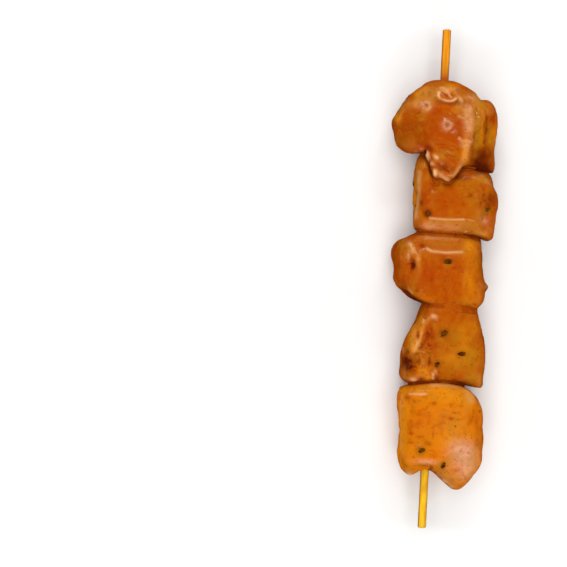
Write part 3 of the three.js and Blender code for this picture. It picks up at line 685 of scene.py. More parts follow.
lightChunk = {
    "name": "chicken_piece_5", "node": "chicken_chunk_5",
    "left": [10.4, 9.7, 9.6, 10.2, 11.2, 11.8], "right": [21, 20, 19.9, 19.8, 19.4, 19],
    "up": [12.8, 14, 14.6, 14.6, 14.2, 13.6], "down": [13.4, 14.4, 14.6, 14.6, 14.4, 13.6],
    "squareness": [5, 5, 3.1], "crown": [4, 8],
    "cuts": [((11.7, -60.9, 13), (0.42, -0.3, 0.86), 2), ((15.3, -48.9, 11.5), (0.7, 0, 0.71), 1.4)],
    "pushes": [
        ((2, -71, 8), (2.2, 3.4, 8), -25, (0, 1, -1.8)),
        ((-6.4, -39.7, 14), (5, 1, 5), 0, (0, 0, 0.5)),
        ((-3.6, -43, 14.4), (6, 1.6, 5), 0, (0, 0, -0.4)),
    ],
    "grain": (0.86, 0.46, 0.14),
    "folds": [
        ([(-6.8, -42.1), (-4, -41.8), (-1, -41.7)], 0.24, 0.42, 0.4, 0.8),
        ([(1, -38), (6, -37.7), (11, -38.4), (14.6, -40.4)], 0.12, 0.7, 0.2, 0.8),
        ([(-9.6, -43), (-9.6, -52), (-9.2, -60), (-8.8, -65)], 0.15, 0.8, 0.12, 0.8),
        ([(-3, -66.2), (0, -66), (4, -66.2)], 0.2, 0.8, 0, 0.6),
        ([(2.8, -69.4), (5, -72), (8, -74.8)], 0.2, 0.7, 0.4, 0.2),
        ([(18, -60), (17.4, -66), (14.4, -71.6)], 0.15, 0.9, 0.1, 0),
        ([(14.2, -40.6), (16, -43.6)], 0.12, 1.0, 0.15, 0.3),
        ([(-7, -69.6), (-5, -71.2), (-3.2, -71)], 0.2, 0.8, 0.2, 0),
    ],
    "crumples": [(6, -70, 3.6, 0.25), (-6, -68.6, 2.6, 0.2), (2.6, -67, 2.6, 0.25), (-4, -40.4, 3, 0.15)],
    "rings": [],
    "facets": [],
    # Among these stains the pale pink patch on the right is partly a painted sheen, the gold and warm down
    # the left rim a painted lit rim, the tan, gold and cream along the upper rim and the lower lobe's edge
    # painted highlights, and the brown on the right edge painted shade; the rest are own tones.
    "stains": {
        "flesh": [
            (12.6, -61.8, 11, 3.6, 3, 8, 1.5), (13, -66, 9, 3.4, 4, 8, 0.7),
            (17, -64.6, 5, 2.6, 4, 9, 0.5), (0.6, -66.2, 11, 3.6, 0.9, 6, 0.8),
            (14.6, -68, 6, 2.4, 4, 8, 0.5),
        ],
        "gold": [
            (11.4, -57.6, 12, 4, 2, 7, 1), (7, -42, 13, 9, 4, 7, 1), (15, -42.4, 10, 2, 2.6, 8, 1),
            (12, -54, 13, 6, 4, 7, 0.5), (7, -58.6, 13, 3, 3.4, 7, 0.7), (-9.4, -54, 4, 2, 12, 14, 1.2),
            (-6, -62.6, 11, 2, 4, 8, 0.4), (-8.6, -40.4, 8, 2, 2.6, 8, 0.7),
            (4.4, -38.6, 10, 7, 0.7, 8, 1), (-8.6, -54, 6, 1.2, 11, 12, 0.8),
            (9.6, -71.4, 5, 2, 2.4, 8, 1),
        ],
        "cream": [
            (11.8, -58.4, 12, 3.4, 1.8, 7, 0.2), (4.4, -38.5, 10, 5, 0.5, 8, 0.2),
            (15.2, -42, 9, 1.6, 1.8, 8, 0.22), (-5.2, -70.9, 4, 2.4, 0.8, 4, 0.5),
            (4.2, -71.2, 6, 1.4, 0.9, 4, 0.4), (6.4, -73.2, 5, 1.4, 0.9, 4, 0.5),
            (9, -75, 4, 1.8, 0.8, 4, 0.5), (7, -73.6, 5, 3, 2.4, 4, 0.25),
        ],
        "tan": [
            (9, -53, 13, 5, 3, 6, 0.6), (7, -48, 13, 3, 1.4, 6, 0.4), (17, -61.4, 6, 2.4, 3, 9, 0.5),
            (7, -69, 8, 3, 3, 8, 0.7), (-5, -71.2, 2, 2, 0.9, 7, 0.5), (12.6, -71.6, 4, 2.4, 3, 8, 0.3),
            (5, -38.3, 11, 7, 0.5, 7, 0.7), (16.6, -68.4, 3, 2.4, 5, 8, 1), (10, -70.6, 6, 4, 3, 8, 0.4),
        ],
        "olive": [
            (9, -73.4, 4, 1.8, 2, 8, 0.9), (-6, -69.4, 5, 2.2, 1.4, 7, 0.6),
            (-1.5, -40.2, 13, 1.6, 0.8, 6, 0.8), (-1.8, -63, 12, 1.7, 1.4, 5, 1),
        ],
        "spot": [
            (-7.4, -43.4, 11, 1.3, 1, 6, 1), (-5, -44.6, 13, 0.9, 0.8, 6, 0.7),
            (2.2, -45, 14, 0.9, 0.7, 6, 1), (8.4, -45.2, 14, 1.2, 0.5, 6, 0.5),
            (12, -45.4, 12, 0.9, 0.6, 6, 0.5), (8.6, -50.2, 13, 1.1, 0.6, 6, 1),
            (-3, -49.2, 14, 1.3, 0.8, 6, 0.5), (-5.6, -56.2, 13, 1, 0.6, 5, 0.7),
            (-2.4, -57.4, 13, 1.2, 0.6, 5, 0.6), (1, -59.8, 13, 0.9, 0.7, 5, 1),
            (-5.4, -59.6, 13, 1.2, 0.5, 5, 0.8), (-2.6, -52, 14, 3.4, 7, 7, 0.16),
            (18, -50, 3, 1.4, 6, 9, 0.4),
        ],
        "dull": [
            (2, -62.8, 12, 5, 1.2, 8, 1.5), (-2.2, -57.4, 13, 2, 1.4, 6, 1.5),
            (6, -38.2, 10, 9, 0.8, 8, 1.3), (-9.6, -54, 4, 1.3, 13, 14, 1.2),
            (4.4, -40.5, 13, 3.8, 0.8, 6, 1.4), (2, -64.4, 11, 8, 2.4, 9, 1.6),
            (-6, -39.4, 12, 5, 1.2, 9, 1), (16, -72, 4, 6, 6, 9, 1),
        ],
        "warm": [
            (-9.4, -55, 2, 0.8, 10, 14, 0.6), (-8.4, -53, 6, 1.4, 10, 12, 0.8),
            (10, -70.4, 6, 2, 1.2, 8, 0.8), (12, -70, 4, 8, 6, 9, 0.6),
        ],
        "deep": [
            (-2, -62.6, 12, 1.8, 1.6, 5, 0.35), (6.6, -67.4, 9, 1, 2.2, 5, 0.4),
            (-0.4, -67.6, 9, 2.6, 0.6, 5, 0.5), (2.4, -68.6, 8, 0.8, 1, 5, 0.7),
        ],
        "brown": [
            (18.4, -51, 3, 1.6, 9, 10, 0.9), (17.4, -46, 7, 1.6, 4, 9, 0.3),
            (8.8, -50.2, 13, 1.3, 0.8, 6, 1),
        ],
    },
    "film": {"warm": 0.85},
}
chunks = [tongueChunk, squareChunk, wideChunk, ridgedChunk, lightChunk]
# Of these masks the dark pooled one and brown also lay painted shade, the cream one lays only painted
# highlights, and tan, the pink flesh one, gold and warm also lay painted highlights, sheen and lit rims.
maskNames = ["tan", "deep", "flesh", "red", "warm", "brown", "olive", "gold", "cream", "spot",
             "dull", "calm"]

# The form that all chunks share. lumps: height, waves along x, y and z, and start. settled: how
# softly the underside meets the table. held: how far outside the bore shaping is at its full.
form = {
    "lumps": [(0.22, (0.31, 0.19, 0.33), 0.4), (0.18, (-0.2, 0.39, 0.44), 2.1),
              (0.12, (0.52, -0.31, 0.6), 4)],
    "settled": 1.6, "held": 2.5,
}

# Relief of the meat, in millimetres: height, then how wide and long each form is along the fibres.
# bends and wander: how long the waves are in which fibres, paths and creases stray, and how far
# these stray. breaks: size of the breaks in paths, how strong a path is, and how much that varies.
# overTable, upper and torn: where relief, the marks of the upper side and tears start and are at
# their full. calmReach: how far smooth meat reaches beside a path, and calmed: how smooth it is.
relief = {
    "lumps": (0.3, 6.5, 8), "swells": (0.13, 2.8, 4), "bundles": (0.12, 2.2, 15),
    "fibres": (0.025, 0.8, 9), "tears": (0.2, 2.0, 13), "tearWidth": 0.12, "tornPatches": 6,
    "overTable": (0.3, 2.5), "upper": (1, 6), "torn": (0.3, 0.6),
    "fibreBends": 9, "fibreWander": 1.6, "bends": 2.6, "wander": 0.5, "breaks": (2.2, 0.62, 0.8),
    "creases": (1.7, 1.7, 3), "creaseLevel": 0.4, "ringWidth": 0.6, "ringRise": 0.08,
    "ringMiddle": 0.5, "calmReach": 3, "calmed": 0.97,
}

# How marinade lies on the meat, and where shade and highlights are painted on it. amounts: what
# each mask gains at seams, in hollows, in the middle of rings, on flanks, the underside, swells and
# edges, and along pale paths and rims. The dark at seams and in hollows is partly pooled marinade
# and partly painted shade; in ring middles and on flanks it is painted shade, as is the brown on
# flanks, and towards the underside the meat is darker; along pale paths and ring rims the tones are
# painted highlights. Each range says where that starts and is at its full. evened: how many times
# the surface is smoothed to tell where facets face, and what is fine and what is broad relief.
coatingAndPaintedLight = {
    "amounts": {
        "deep": {"seams": 0.8, "hollows": 0.4, "shadedMiddles": 0.45, "flanks": 0.08, "underside": 0.25},
        "brown": {"flanks": 0.25}, "tan": {"swells": 0.2, "edges": 0.2},
        "cream": {"paths": 0.8}, "flesh": {"rims": 0.55},
    },
    "hollows": (0.02, 0.12), "edges": (0.02, 0.1), "swells": (0.15, 0.6), "flanks": (-0.88, -0.35),
    "underside": (5, 11.5), "facets": (0.93, 0.985),
    "evened": {"facets": 22, "fine": 11, "broad": 73}, "patchSize": 3.4, "patchiness": 0.35,
    "seamReach": 0.9, "endShade": 0.3, "seamTan": 0.6,
}


def seen(points):
    # where the camera sees points, on the level of the stick's axis: their distance from the point
    # under the camera grows by height / (height - z)
    scale = (camera["height"] / (camera["height"] - points[..., 2]))[..., None]
    return camera["centre"] + (points[..., :2] - camera["centre"]) * scale


def wallAt(wall, x, z):
    # y + leanX x + leanZ z + the sum of out exp(-((x - bx) / wide)^2 - ((z - bz) / tall)^2)
    place = wall["y"] + wall["leanX"] * x + wall["leanZ"] * z
    for bx, bz, wide, tall, out in wall["bulges"]:
        place = place + out * np.exp(-(((x - bx) / wide) ** 2) - ((z - bz) / tall) ** 2)
    return place


def rimProfile(squareLow, squareHigh, steps):
    # (cos^(2/n), sin^(2/n)) from the lower end to the upper one, evenly spaced along its length
    samples = 2001
    angle = (np.linspace(0, 1, samples) - 0.5) * math.pi
    power = 2 / np.where(angle < 0, squareLow, squareHigh)
    out = np.abs(np.cos(angle)) ** power
    out[[0, -1]] = 0
    place = np.sign(angle) * np.abs(np.sin(angle)) ** power
    reached = np.concatenate([[0], np.cumsum(np.hypot(np.diff(out), np.diff(place)))])
    wanted = np.linspace(0, reached[-1], steps + 1)
    return np.stack([np.interp(wanted, reached, out), np.interp(wanted, reached, place)])


def chunkSkin(chunk, low, high):
    # the solid's own form on a finer grid: the radius runs from the bore to a superellipse round
    # the stick, and y runs from one wall to the other; then come cuts, pushes, lumps and the table.
    # The rim profile goes from the flank's to the crown's by the square of the upward sine.
    angle = turnAngles(grid["around"])[None, :]
    c, s = np.cos(angle), np.sin(angle)
    flank, crown = (rimProfile(*rims[:2], grid["along"])[..., None]
                    for rims in (chunk["squareness"], chunk["crown"]))
    out, place = flank + (crown - flank) * np.maximum(s, 0) ** 2
    share = (place + 1) / 2
    across = np.where(c > 0, along(chunk["right"], share), along(chunk["left"], share))
    upright = np.where(s > 0, along(chunk["up"], share), along(chunk["down"], share))
    square = chunk["squareness"][2]
    reach = (np.abs(c / across) ** square + np.abs(s / upright) ** square) ** (-1 / square)
    inner = stick["radius"] - stick["grip"]
    radius = inner + out * (reach - inner)
    x, z = radius * c, radius * s
    y = (wallAt(low, x, z) + seam / 2) * (1 - share) + (wallAt(high, x, z) - seam / 2) * share
    points = np.stack([x, y, z], axis=-1)
    hold = smoothStep(np.hypot(x, z), stick["bore"], stick["bore"] + form["held"])[..., None]
    for at, facing, soft in chunk["cuts"]:
        facing = unit(np.array(facing, float))
        beyond = (points - np.array(at)) @ facing
        points = points - hold * softPositive(beyond, soft)[..., None] * facing
    for at, size, turn, push in chunk["pushes"]:
        away = points - np.array(at)
        ct, st = math.cos(math.radians(turn)), math.sin(math.radians(turn))
        turned = np.stack([away[..., 0] * ct + away[..., 1] * st,
                           away[..., 1] * ct - away[..., 0] * st, away[..., 2]], axis=-1)
        spot = np.exp(-np.sum((turned / np.array(size)) ** 2, axis=-1))[..., None]
        points = points + hold * spot * np.array(push)
    outwards = unit(points * [1, 0, 1])
    for rise, wave, start in form["lumps"]:
        points = points + hold * rise * np.sin(points @ np.array(wave) + start)[..., None] * outwards
    x, y, z = points[..., 0], points[..., 1], points[..., 2]
    y = np.clip(y, wallAt(low, x, z) + seam / 2, wallAt(high, x, z) - seam / 2)
    return np.stack([x, y, softPositive(z - tableZ, form["settled"]) + tableZ], axis=-1), hold[..., 0]


def gridNormals(points):
    # the cross product of the grid's two directions, rows first, which points outwards
    byRow = np.roll(points, -1, axis=0) - np.roll(points, 1, axis=0)
    byColumn = np.roll(points, -1, axis=1) - np.roll(points, 1, axis=1)
    return np.cross(byRow, byColumn)


def evened(values, times):
    # each value moved towards its four neighbours' mean, again and again
    for _ in range(times):
        for axis in (0, 1):
            values = (2 * values + np.roll(values, 1, axis) + np.roll(values, -1, axis)) / 4
    return values


def grainPlaces(points, grain):
    # place of each point along the fibres and across them twice, bent a little by slow noise
    lengthwise = unit(np.array(grain, float))
    across = unit(np.cross(lengthwise, [0, 0.1, 1]))
    turned = points @ np.stack([lengthwise, across, np.cross(lengthwise, across)], axis=1)
    bent = [slopeNoise(points / relief["fibreBends"], 300 + axis) for axis in range(3)]
    return turned + np.stack(bent, axis=-1) * [0, relief["fibreWander"], relief["fibreWander"]]


def meatRelief(points, fibrePlaces, chunk, seed):
    # height along the normal: lumps, fibre bundles and fibres of slope noise, tears where one
    # noise crosses zero, creases of 1 - 2 |noise|, paths of exp(-(d / width)^2) and bubble rims of
    # exp(-((d - r) / w)^2); also masks of pale paths and pale rims, which are painted highlights, of dark
    # bubble middles, which are painted shade, and of calm meat
    def alongFibres(key, offset):
        rise, wide, length = relief[key]
        return rise, slopeNoise(fibrePlaces / [length, wide, wide], seed + offset)

    height = 0
    for offset, key in enumerate(("lumps", "swells", "bundles", "fibres"), start=1):
        rise, noise = alongFibres(key, offset)
        height = height + rise * noise
    depth, noise = alongFibres("tears", 5)
    upper = smoothStep(points[..., 2], *relief["upper"])
    torn = upper * smoothStep(slopeNoise(points / relief["tornPatches"], seed + 6), *relief["torn"])
    height = height - depth * torn * np.exp(-((np.abs(noise) / relief["tearWidth"]) ** 2))
    size, strength, swing = relief["breaks"]
    broken = np.clip(strength + swing * slopeNoise(points / size, seed + 8), 0, 1.1)
    bent = np.stack([slopeNoise(points / relief["bends"], seed + offset) for offset in (9, 10)], axis=-1)
    bent = relief["wander"] * bent
    x, y = np.moveaxis(seen(points), -1, 0)
    crease = 1 - 2 * np.abs(slopeNoise(points / relief["creases"] + bent[..., :1], seed + 11))
    for spotX, spotY, radius, rise in chunk["crumples"]:
        spot = np.exp(-((x - spotX) ** 2 + (y - spotY) ** 2) / radius**2)
        height = height + rise * upper * spot * (crease - relief["creaseLevel"])
    ridges, pale, rims, middles, calm = (np.zeros(points.shape[:2]) for _ in range(5))
    for path, rise, width, light, smooth in chunk["folds"]:
        wander = (1 - smooth) * bent
        away = pathDistance(x + wander[..., 0], y + wander[..., 1], path)
        ridge = upper * np.exp(-((away / width) ** 2)) * (broken + (1 - broken) * smooth)
        ridges = ridges + rise * ridge
        pale = np.maximum(pale, light * ridge)
        calm = np.maximum(calm, upper * smooth * np.exp(-((away / relief["calmReach"]) ** 2)))
    for ringX, ringY, radius in chunk["rings"]:
        away = np.hypot(x - ringX, y - ringY) + bent[..., 0]
        rim = upper * broken * np.exp(-(((away - radius) / relief["ringWidth"]) ** 2))
        ridges = ridges + relief["ringRise"] * rim
        rims = np.maximum(rims, rim)
        middle = upper * np.exp(-((away / (relief["ringMiddle"] * radius)) ** 2))
        middles = np.maximum(middles, middle)
    return height * (1 - relief["calmed"] * calm) + ridges, {
        "pale": pale, "rims": rims, "middles": middles, "calm": calm}


def filmMasks(points, normals, chunk, low, high, marks, seed):
    # mask values: stains of amount exp(-|place / size|^2), painted reflections on facets by which
    # way they face, the dark that seams, hollows, ring middles, flanks and the underside add, and the
    # lightening on swells, edges, pale paths and ring rims; the dark at seams and in hollows is partly
    # pooled marinade and partly painted shade, in ring middles and on flanks it is painted shade, and
    # the pale paths and ring rims are painted highlights
    masks = {name: np.full(points.shape[:2], chunk["film"].get(name, 0.0)) for name in maskNames}
    patches = 1 + coatingAndPaintedLight["patchiness"] * slopeNoise(points / coatingAndPaintedLight["patchSize"], seed + 7)
    inView = np.concatenate([seen(points), points[..., 2:]], axis=-1)
    for name, stains in chunk["stains"].items():
        for *place, amount in stains:
            spot = np.exp(-np.sum(((inView - place[:3]) / place[3:]) ** 2, axis=-1))
            masks[name] = masks[name] + amount * spot * patches
    smoothings = coatingAndPaintedLight["evened"]
    broadNormals = unit(evened(normals, smoothings["facets"]))
    # painted reflection: meat that faces a facet's way is lightened in that mask
    for name, facing, amount in chunk["facets"]:
        turnedTo = broadNormals @ unit(np.array(facing, float))
        masks[name] = masks[name] + amount * smoothStep(turnedTo, *coatingAndPaintedLight["facets"])
    fine, broad = (np.sum((points - evened(points, smoothings[key])) * normals, axis=-1)
                   for key in ("fine", "broad"))
    x, y, z = points[..., 0], points[..., 1], points[..., 2]
    # painted shade beside both walls, as dark as each wall's shade: partly marinade pooled in the seam,
    # partly painted shade
    seams = 0
    for wall, side in ((low, 1), (high, -1)):
        toWall = np.maximum(side * (y - wallAt(wall, x, z)), 0)
        shade = np.interp(x, wall["x"], wall["shade"]) if "x" in wall else coatingAndPaintedLight["endShade"]
        seams = seams + shade * np.exp(-((toWall / coatingAndPaintedLight["seamReach"]) ** 2))
    flanks = smoothStep(-normals[..., 2], *coatingAndPaintedLight["flanks"])
    where = {
        "seams": seams, "hollows": smoothStep(-fine, *coatingAndPaintedLight["hollows"]), "shadedMiddles": marks["middles"],
        "flanks": flanks, "underside": smoothStep(-z, *coatingAndPaintedLight["underside"]),
        "swells": smoothStep(broad, *coatingAndPaintedLight["swells"]) * (1 - flanks),
        "edges": smoothStep(fine, *coatingAndPaintedLight["edges"]), "paths": marks["pale"], "rims": marks["rims"],
    }
    for name, amounts in coatingAndPaintedLight["amounts"].items():
        for key, amount in amounts.items():
            masks[name] = masks[name] + amount * where[key]
    masks["tan"] = masks["tan"] * (1 - coatingAndPaintedLight["seamTan"] * np.clip(seams, 0, 1))
    masks["calm"] = marks["calm"]
    return [np.clip(masks[name], 0, 1) for name in maskNames]


def chickenMaterial():
    # orange-brown marinade over pale meat: the masks choose between its thin, thick and pooled tones
    # and lay painted shade, sheen and highlights too, noise along the fibres streaks it, and a clear wet
    # film lies over all
    material, wire, place = newMaterial("marinated_chicken")
    # the dark pooled tone also serves as painted shade, the cream tone as painted highlight, and tan, the
    # pink flesh tone, gold and warm also as painted sheen and lit rims
    tones = {
        "main": linear(178, 76, 3), "brown": linear(152, 68, 4), "warm": linear(222, 120, 8),
        "tan": linear(196, 124, 42), "flesh": linear(222, 156, 116), "red": linear(166, 56, 5),
        "deep": linear(88, 26, 4), "olive": linear(176, 112, 16), "gold": linear(222, 132, 12),
        "cream": linear(252, 196, 134), "spot": linear(170, 52, 2),
    }
    grain = wire.add("ShaderNodeAttribute", {"attribute_name": "grain"}, {}, "Vector")
    masks = {}
    for first in range(0, len(maskNames), 3):
        channels = attributeMasks(wire, f"coat{first // 3 + 1}")
        masks.update(zip(maskNames[first:first + 3], channels))
    mottle = noiseAt(wire, place, 420, 3, 0.6)
    blots = noiseAt(wire, place, 560, 1, 0.5)
    cloud = noiseAt(wire, place, 150, 2, 0.5)
    streak = noiseAt(wire, grain, 1.0, 3, 0.6, (0.12, 1.3, 1.3))
    fibre = noiseAt(wire, grain, 1.0, 2, 0.6, (0.2, 3.6, 3.6))
    layers = [
        ("brown", masks["brown"].patchy(cloud, 0.7)), ("warm", masks["warm"].patchy(cloud, 0.5)),
        ("olive", masks["olive"].patchy(cloud, 0.5)), ("gold", masks["gold"].patchy(cloud, 0.5)),
        ("red", masks["red"].patchy(mottle, 0.6)), ("tan", masks["tan"].patchy(mottle, 0.7) * 0.9),
        # the pink tone: pale flesh where it shows, and painted sheen and highlights on rims and bands
        ("flesh", masks["flesh"].patchy(streak, 0.6)), ("spot", masks["spot"]),
        ("warm", streak.between(0.52, 0.8) * 0.35), ("olive", cloud.between(0.5, 0.72) * 0.4),
        ("red", (1 - cloud.between(0.28, 0.5)) * 0.35), ("brown", mottle.between(0.5, 0.75) * 0.4),
        ("olive", (1 - mottle.between(0.25, 0.5)) * 0.3), ("red", blots.between(0.62, 0.72) * 0.4),
        # painted last: the dark pooled tone, partly painted shade, and the cream tone, painted highlights
        ("deep", masks["deep"].patchy(mottle, 0.5)), ("cream", masks["cream"].patchy(mottle, 0.5)),
    ]
    colour = layered(wire, tones["main"], [(mask, tones[name]) for name, mask in layers])
    roughness = 0.42 + 0.2 * mottle - 0.12 * masks["deep"]
    height = (fibre * 0.6 + mottle * 0.4) * (1 - masks["calm"])
    coat = (0.55 + 0.4 * masks["calm"]) * (1 - masks["dull"])
    finishSurface(wire, colour, roughness, {
        **wetFilm, "Coat Weight": coat, "Subsurface Weight": 0.06,
        "Subsurface Radius": (1.0, 0.3, 0.08), "Subsurface Scale": 0.0025,
    }, height, 0.0002)
    return material


chicken = chickenMaterial()
skins = []
for order, chunk in enumerate(chunks):
    low, high = walls[order + 1], walls[order]
    seed = 20 * (order + 1)
    points, hold = chunkSkin(chunk, low, high)
    fibrePlaces = grainPlaces(points, chunk["grain"])
    height, marks = meatRelief(points, fibrePlaces, chunk, seed)
    clear = hold * smoothStep(points[..., 2] - tableZ, *relief["overTable"])
    points = points + (clear * height)[..., None] * unit(gridNormals(points))
    points[..., 2] = np.maximum(points[..., 2], tableZ)
    normals = gridNormals(points)
    area = np.linalg.norm(normals, axis=-1)
    normals = unit(normals)
    masks = filmMasks(points, normals, chunk, low, high, marks, seed)
    attributes = {"grain": fibrePlaces}
    for first in range(0, len(masks), 3):
        colours = [*masks[first:first + 3], np.ones(points.shape[:2])]
        attributes[f"coat{first // 3 + 1}"] = np.stack(colours, axis=-1)
    piece = makePiece(chunk["name"], points, [ringQuads(*points.shape[:2], True)], chicken, attributes)
    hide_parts(chunk["node"])
    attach(piece, "root")
    clean = 1 - masks[maskNames.index("deep")]
    skins.append({"points": points, "normals": normals, "area": area * clean, "low": low, "high": high})
print("five chunks made")


# The stick's look. grooves: how deep the coarse and the fine ones are, as shares of the radius, and
# grooveWaves: how wide the noise runs round the stick, and how long a groove is. wet: where along
# the stick the marinade's stain starts, is at its full, fades and ends. amber: where that tint
# starts and is at its full, and side: the same by |cos| of the angle, for painted shade that darkens
# the stick's sides. browned: from the cut ends.
stickLook = {
    "around": 48, "steps": 240, "grooves": (0.022, 0.012), "grooveWaves": (2.2, 40),
    "wet": (66, 70, 71, 77), "amber": (-40, 60), "browned": 0.4, "side": (0.66, 0.98),
}


def bambooMaterial():
    # golden bamboo with long darker grain lines, darker at the sides by painted shade, browned at the
    # cut ends, and stained by marinade
    material, wire, place = newMaterial("bamboo")
    wet, amber, cutEnd = attributeMasks(wire, "stain")
    side, = attributeMasks(wire, "side", ["Red"])
    grain = noiseAt(wire, place, 1.0, 3, 0.6, (1800, 60, 1800))
    patch = noiseAt(wire, place, 1.0, 2, 0.5, (500, 190, 500))
    pores = noiseAt(wire, place, 1.0, 2, 0.7, (5200, 240, 5200))
    colour = layered(wire, linear(248, 196, 30), [
        (amber, linear(246, 154, 14)),
        (patch.between(0.4, 0.7) * 0.5, linear(226, 146, 10)),
        (grain.between(0.42, 0.7) * 0.7, linear(200, 118, 12)),
        (pores.between(0.6, 0.8) * 0.45, linear(150, 88, 16)),
        # painted shade on the stick's sides
        (side * 0.85, linear(128, 70, 8)),
        (wet.patchy(grain, 0.7), linear(182, 84, 8)),
        (cutEnd * 0.6, linear(176, 116, 40)),
    ])
    finishSurface(wire, colour, 0.55 - 0.2 * wet + 0.15 * pores, {"Specular IOR Level": 0.15},
                  grain * 0.7 + pores * 0.5, 0.0001)
    return material


def stickSkin():
    # a round profile carried along the axis: radius r(y) (1 - groove), where r shrinks over the
    # bevel at both ends and each end closes in two more rings to a point on the axis
    half = stick["length"] / 2
    rim = stick["radius"] - stick["bevel"]
    rings = [(-half, 0.0), (-half, 0.5), (-half, rim)]
    rings += [(place, stick["radius"]) for place in
              np.linspace(-half + stick["bevel"], half - stick["bevel"], stickLook["steps"])]
    rings += [(half, rim), (half, 0.5), (half, 0.0)]
    place, radius = np.array(rings).T[:, :, None]
    angle = turnAngles(stickLook["around"])[None, :]
    c, s = np.cos(angle), np.sin(angle)
    waves, length = stickLook["grooveWaves"]
    ringPlaces = np.stack(np.broadcast_arrays(c * waves, place / length, s * waves), axis=-1)
    coarse, fine = stickLook["grooves"]
    groove = coarse * slopeNoise(ringPlaces, 11) + fine * slopeNoise(ringPlaces * [3, 2, 3], 12)
    radius = radius * (1 + groove)
    points = np.stack([radius * c, place + 0 * angle, radius * s], axis=-1)
    starts, full, fades, ends = stickLook["wet"]
    wet = smoothStep(points[..., 1], starts, full) * smoothStep(-points[..., 1], -ends, -fades)
    amber = smoothStep(points[..., 1], *stickLook["amber"])
    cutEnd = smoothStep(np.abs(points[..., 1]), half - stickLook["browned"], half)
    solid = np.ones_like(wet)
    # painted shade: how far round towards the stick's sides each point lies
    side = smoothStep(np.abs(c) * solid, *stickLook["side"])
    return points, {"stain": np.stack([wet, amber, cutEnd, solid], axis=-1),
                    "side": np.stack([side, side, side, solid], axis=-1)}


stickPoints, stickStains = stickSkin()
stickPiece = makePiece("bamboo_stick", stickPoints, [ringQuads(*stickPoints.shape[:2], False)],
                       bambooMaterial(), stickStains)
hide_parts("bamboo_skewer")
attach(stickPiece, "root")
print("stick made")


# The marinade in the seams. tones: light, thin and thick; the thick one goes where a wall's shade
# is high and is partly pooled marinade, partly painted shade. profile: its section as depth and side.
# inwards: how far it reaches in. rim: how far it stands out, less dip times its opening. overlap:
# how far its sides run into the meat. evened: how many times its rim is smoothed.
seamMarinade = {
    "tones": [(178, 82, 6), (156, 66, 5), (78, 22, 4)],
    "profile": [(1, -1), (0.92, -0.6), (0.88, -0.25), (0.87, 0), (0.88, 0.25), (0.92, 0.6), (1, 1),
                (0, 0.3), (0, -0.3)],
    "inwards": 1.6, "rim": 0.2, "dip": 0.13, "overlap": 0.2, "aboveTable": 0.4, "evened": 6,
}


def marinadeMaterial(name, tones):
    # mottled marinade that is dark where its shade attribute is 1, partly pooled marinade and partly
    # painted shade, and where clouds thicken it
    material, wire, place = newMaterial(name)
    light, thin, thick = (linear(*tone) for tone in tones)
    shade, = attributeMasks(wire, "shade", ["Red"])
    cloud = noiseAt(wire, place, 400, 2, 0.5)
    mottle = noiseAt(wire, place, 260, 3, 0.6)
    colour = layered(wire, thin, [(mottle.between(0.42, 0.6), light), (shade.patchy(cloud, 0.6), thick)])
    finishSurface(wire, colour, 0.3 + 0.12 * cloud, {**wetFilm, "Coat Weight": 0.5})
    return material


def filmRing(inner, outer, width, shade):
    # a closed ring between two chunks: inner and outer are points per column, and the profile is a
    # small loop whose outer edge is hollowed between the two chunks; it is darkest where the side is 0,
    # a dark line down the middle of the seam that is partly pooled marinade and partly painted shade
    depth, side = np.array(seamMarinade["profile"]).T[..., None, None]
    points = inner[None] * (1 - depth) + outer[None] * depth
    points[..., 1] += side[..., 0] * width[None]
    dark = shade[None] * (1 - np.minimum(2 * np.abs(side[..., 0]), 0.8))
    return points, np.repeat(dark[..., None], 4, axis=-1)


def seamFilm(upper, lower, wall):
    # for each column, the radius where the two chunks have parted by the film's opening
    def openingAt(x):
        return np.interp(x, wall["x"], wall["opening"])

    def parted(points, sign, rows):
        x, y, z = (points[rows, :, axis] for axis in range(3))
        first = np.argmax(sign * (y - wallAt(wall, x, z)) > openingAt(x), axis=0)
        return np.hypot(x, z)[first, np.arange(points.shape[1])]

    def ringAt(radius):
        x, z = radius * np.cos(angle), radius * np.sin(angle)
        z = np.maximum(z, tableZ + seamMarinade["aboveTable"])
        return np.stack([x, wallAt(wall, x, z), z], axis=-1)

    angle = turnAngles(grid["around"])
    half = grid["along"] // 2
    reach = np.minimum(parted(upper, 1, np.arange(half)),
                       parted(lower, -1, np.arange(grid["along"], half, -1)))
    for _ in range(seamMarinade["evened"]):
        reach = np.minimum(reach, (2 * reach + np.roll(reach, 1) + np.roll(reach, -1)) / 4)
    dip = seamMarinade["dip"] * openingAt(reach * np.cos(angle))
    outer = ringAt(reach + seamMarinade["rim"] - dip)
    width = openingAt(outer[:, 0]) + seamMarinade["overlap"]
    shade = np.interp(outer[:, 0], wall["x"], wall["shade"])
    return filmRing(ringAt(reach - seamMarinade["inwards"]), outer, width, shade)


film = marinadeMaterial("marinade", seamMarinade["tones"])
for order in range(4):
    ring, shade = seamFilm(skins[order]["points"], skins[order + 1]["points"], walls[order + 1])
    piece = makePiece(f"seam_marinade_{order + 1}", ring, [ringQuads(*ring.shape[:2], True)], film,
                      {"shade": shade})
    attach(piece, "root")
print("seam marinade made")


def surfaceFrames(normals, turns):
    # rows of each frame: lengthwise, across and the normal, swung about the normal by a turn
    helper = np.where(np.abs(normals[:, 1:2]) > 0.9, [[0.0, 0.0, -1.0]], [[0.0, 1.0, 0.0]])
    first = unit(np.cross(helper, normals))
    second = np.cross(normals, first)
    c, s = np.cos(turns)[:, None], np.sin(turns)[:, None]
    return np.stack([c * first + s * second, c * second - s * first, normals], axis=1)


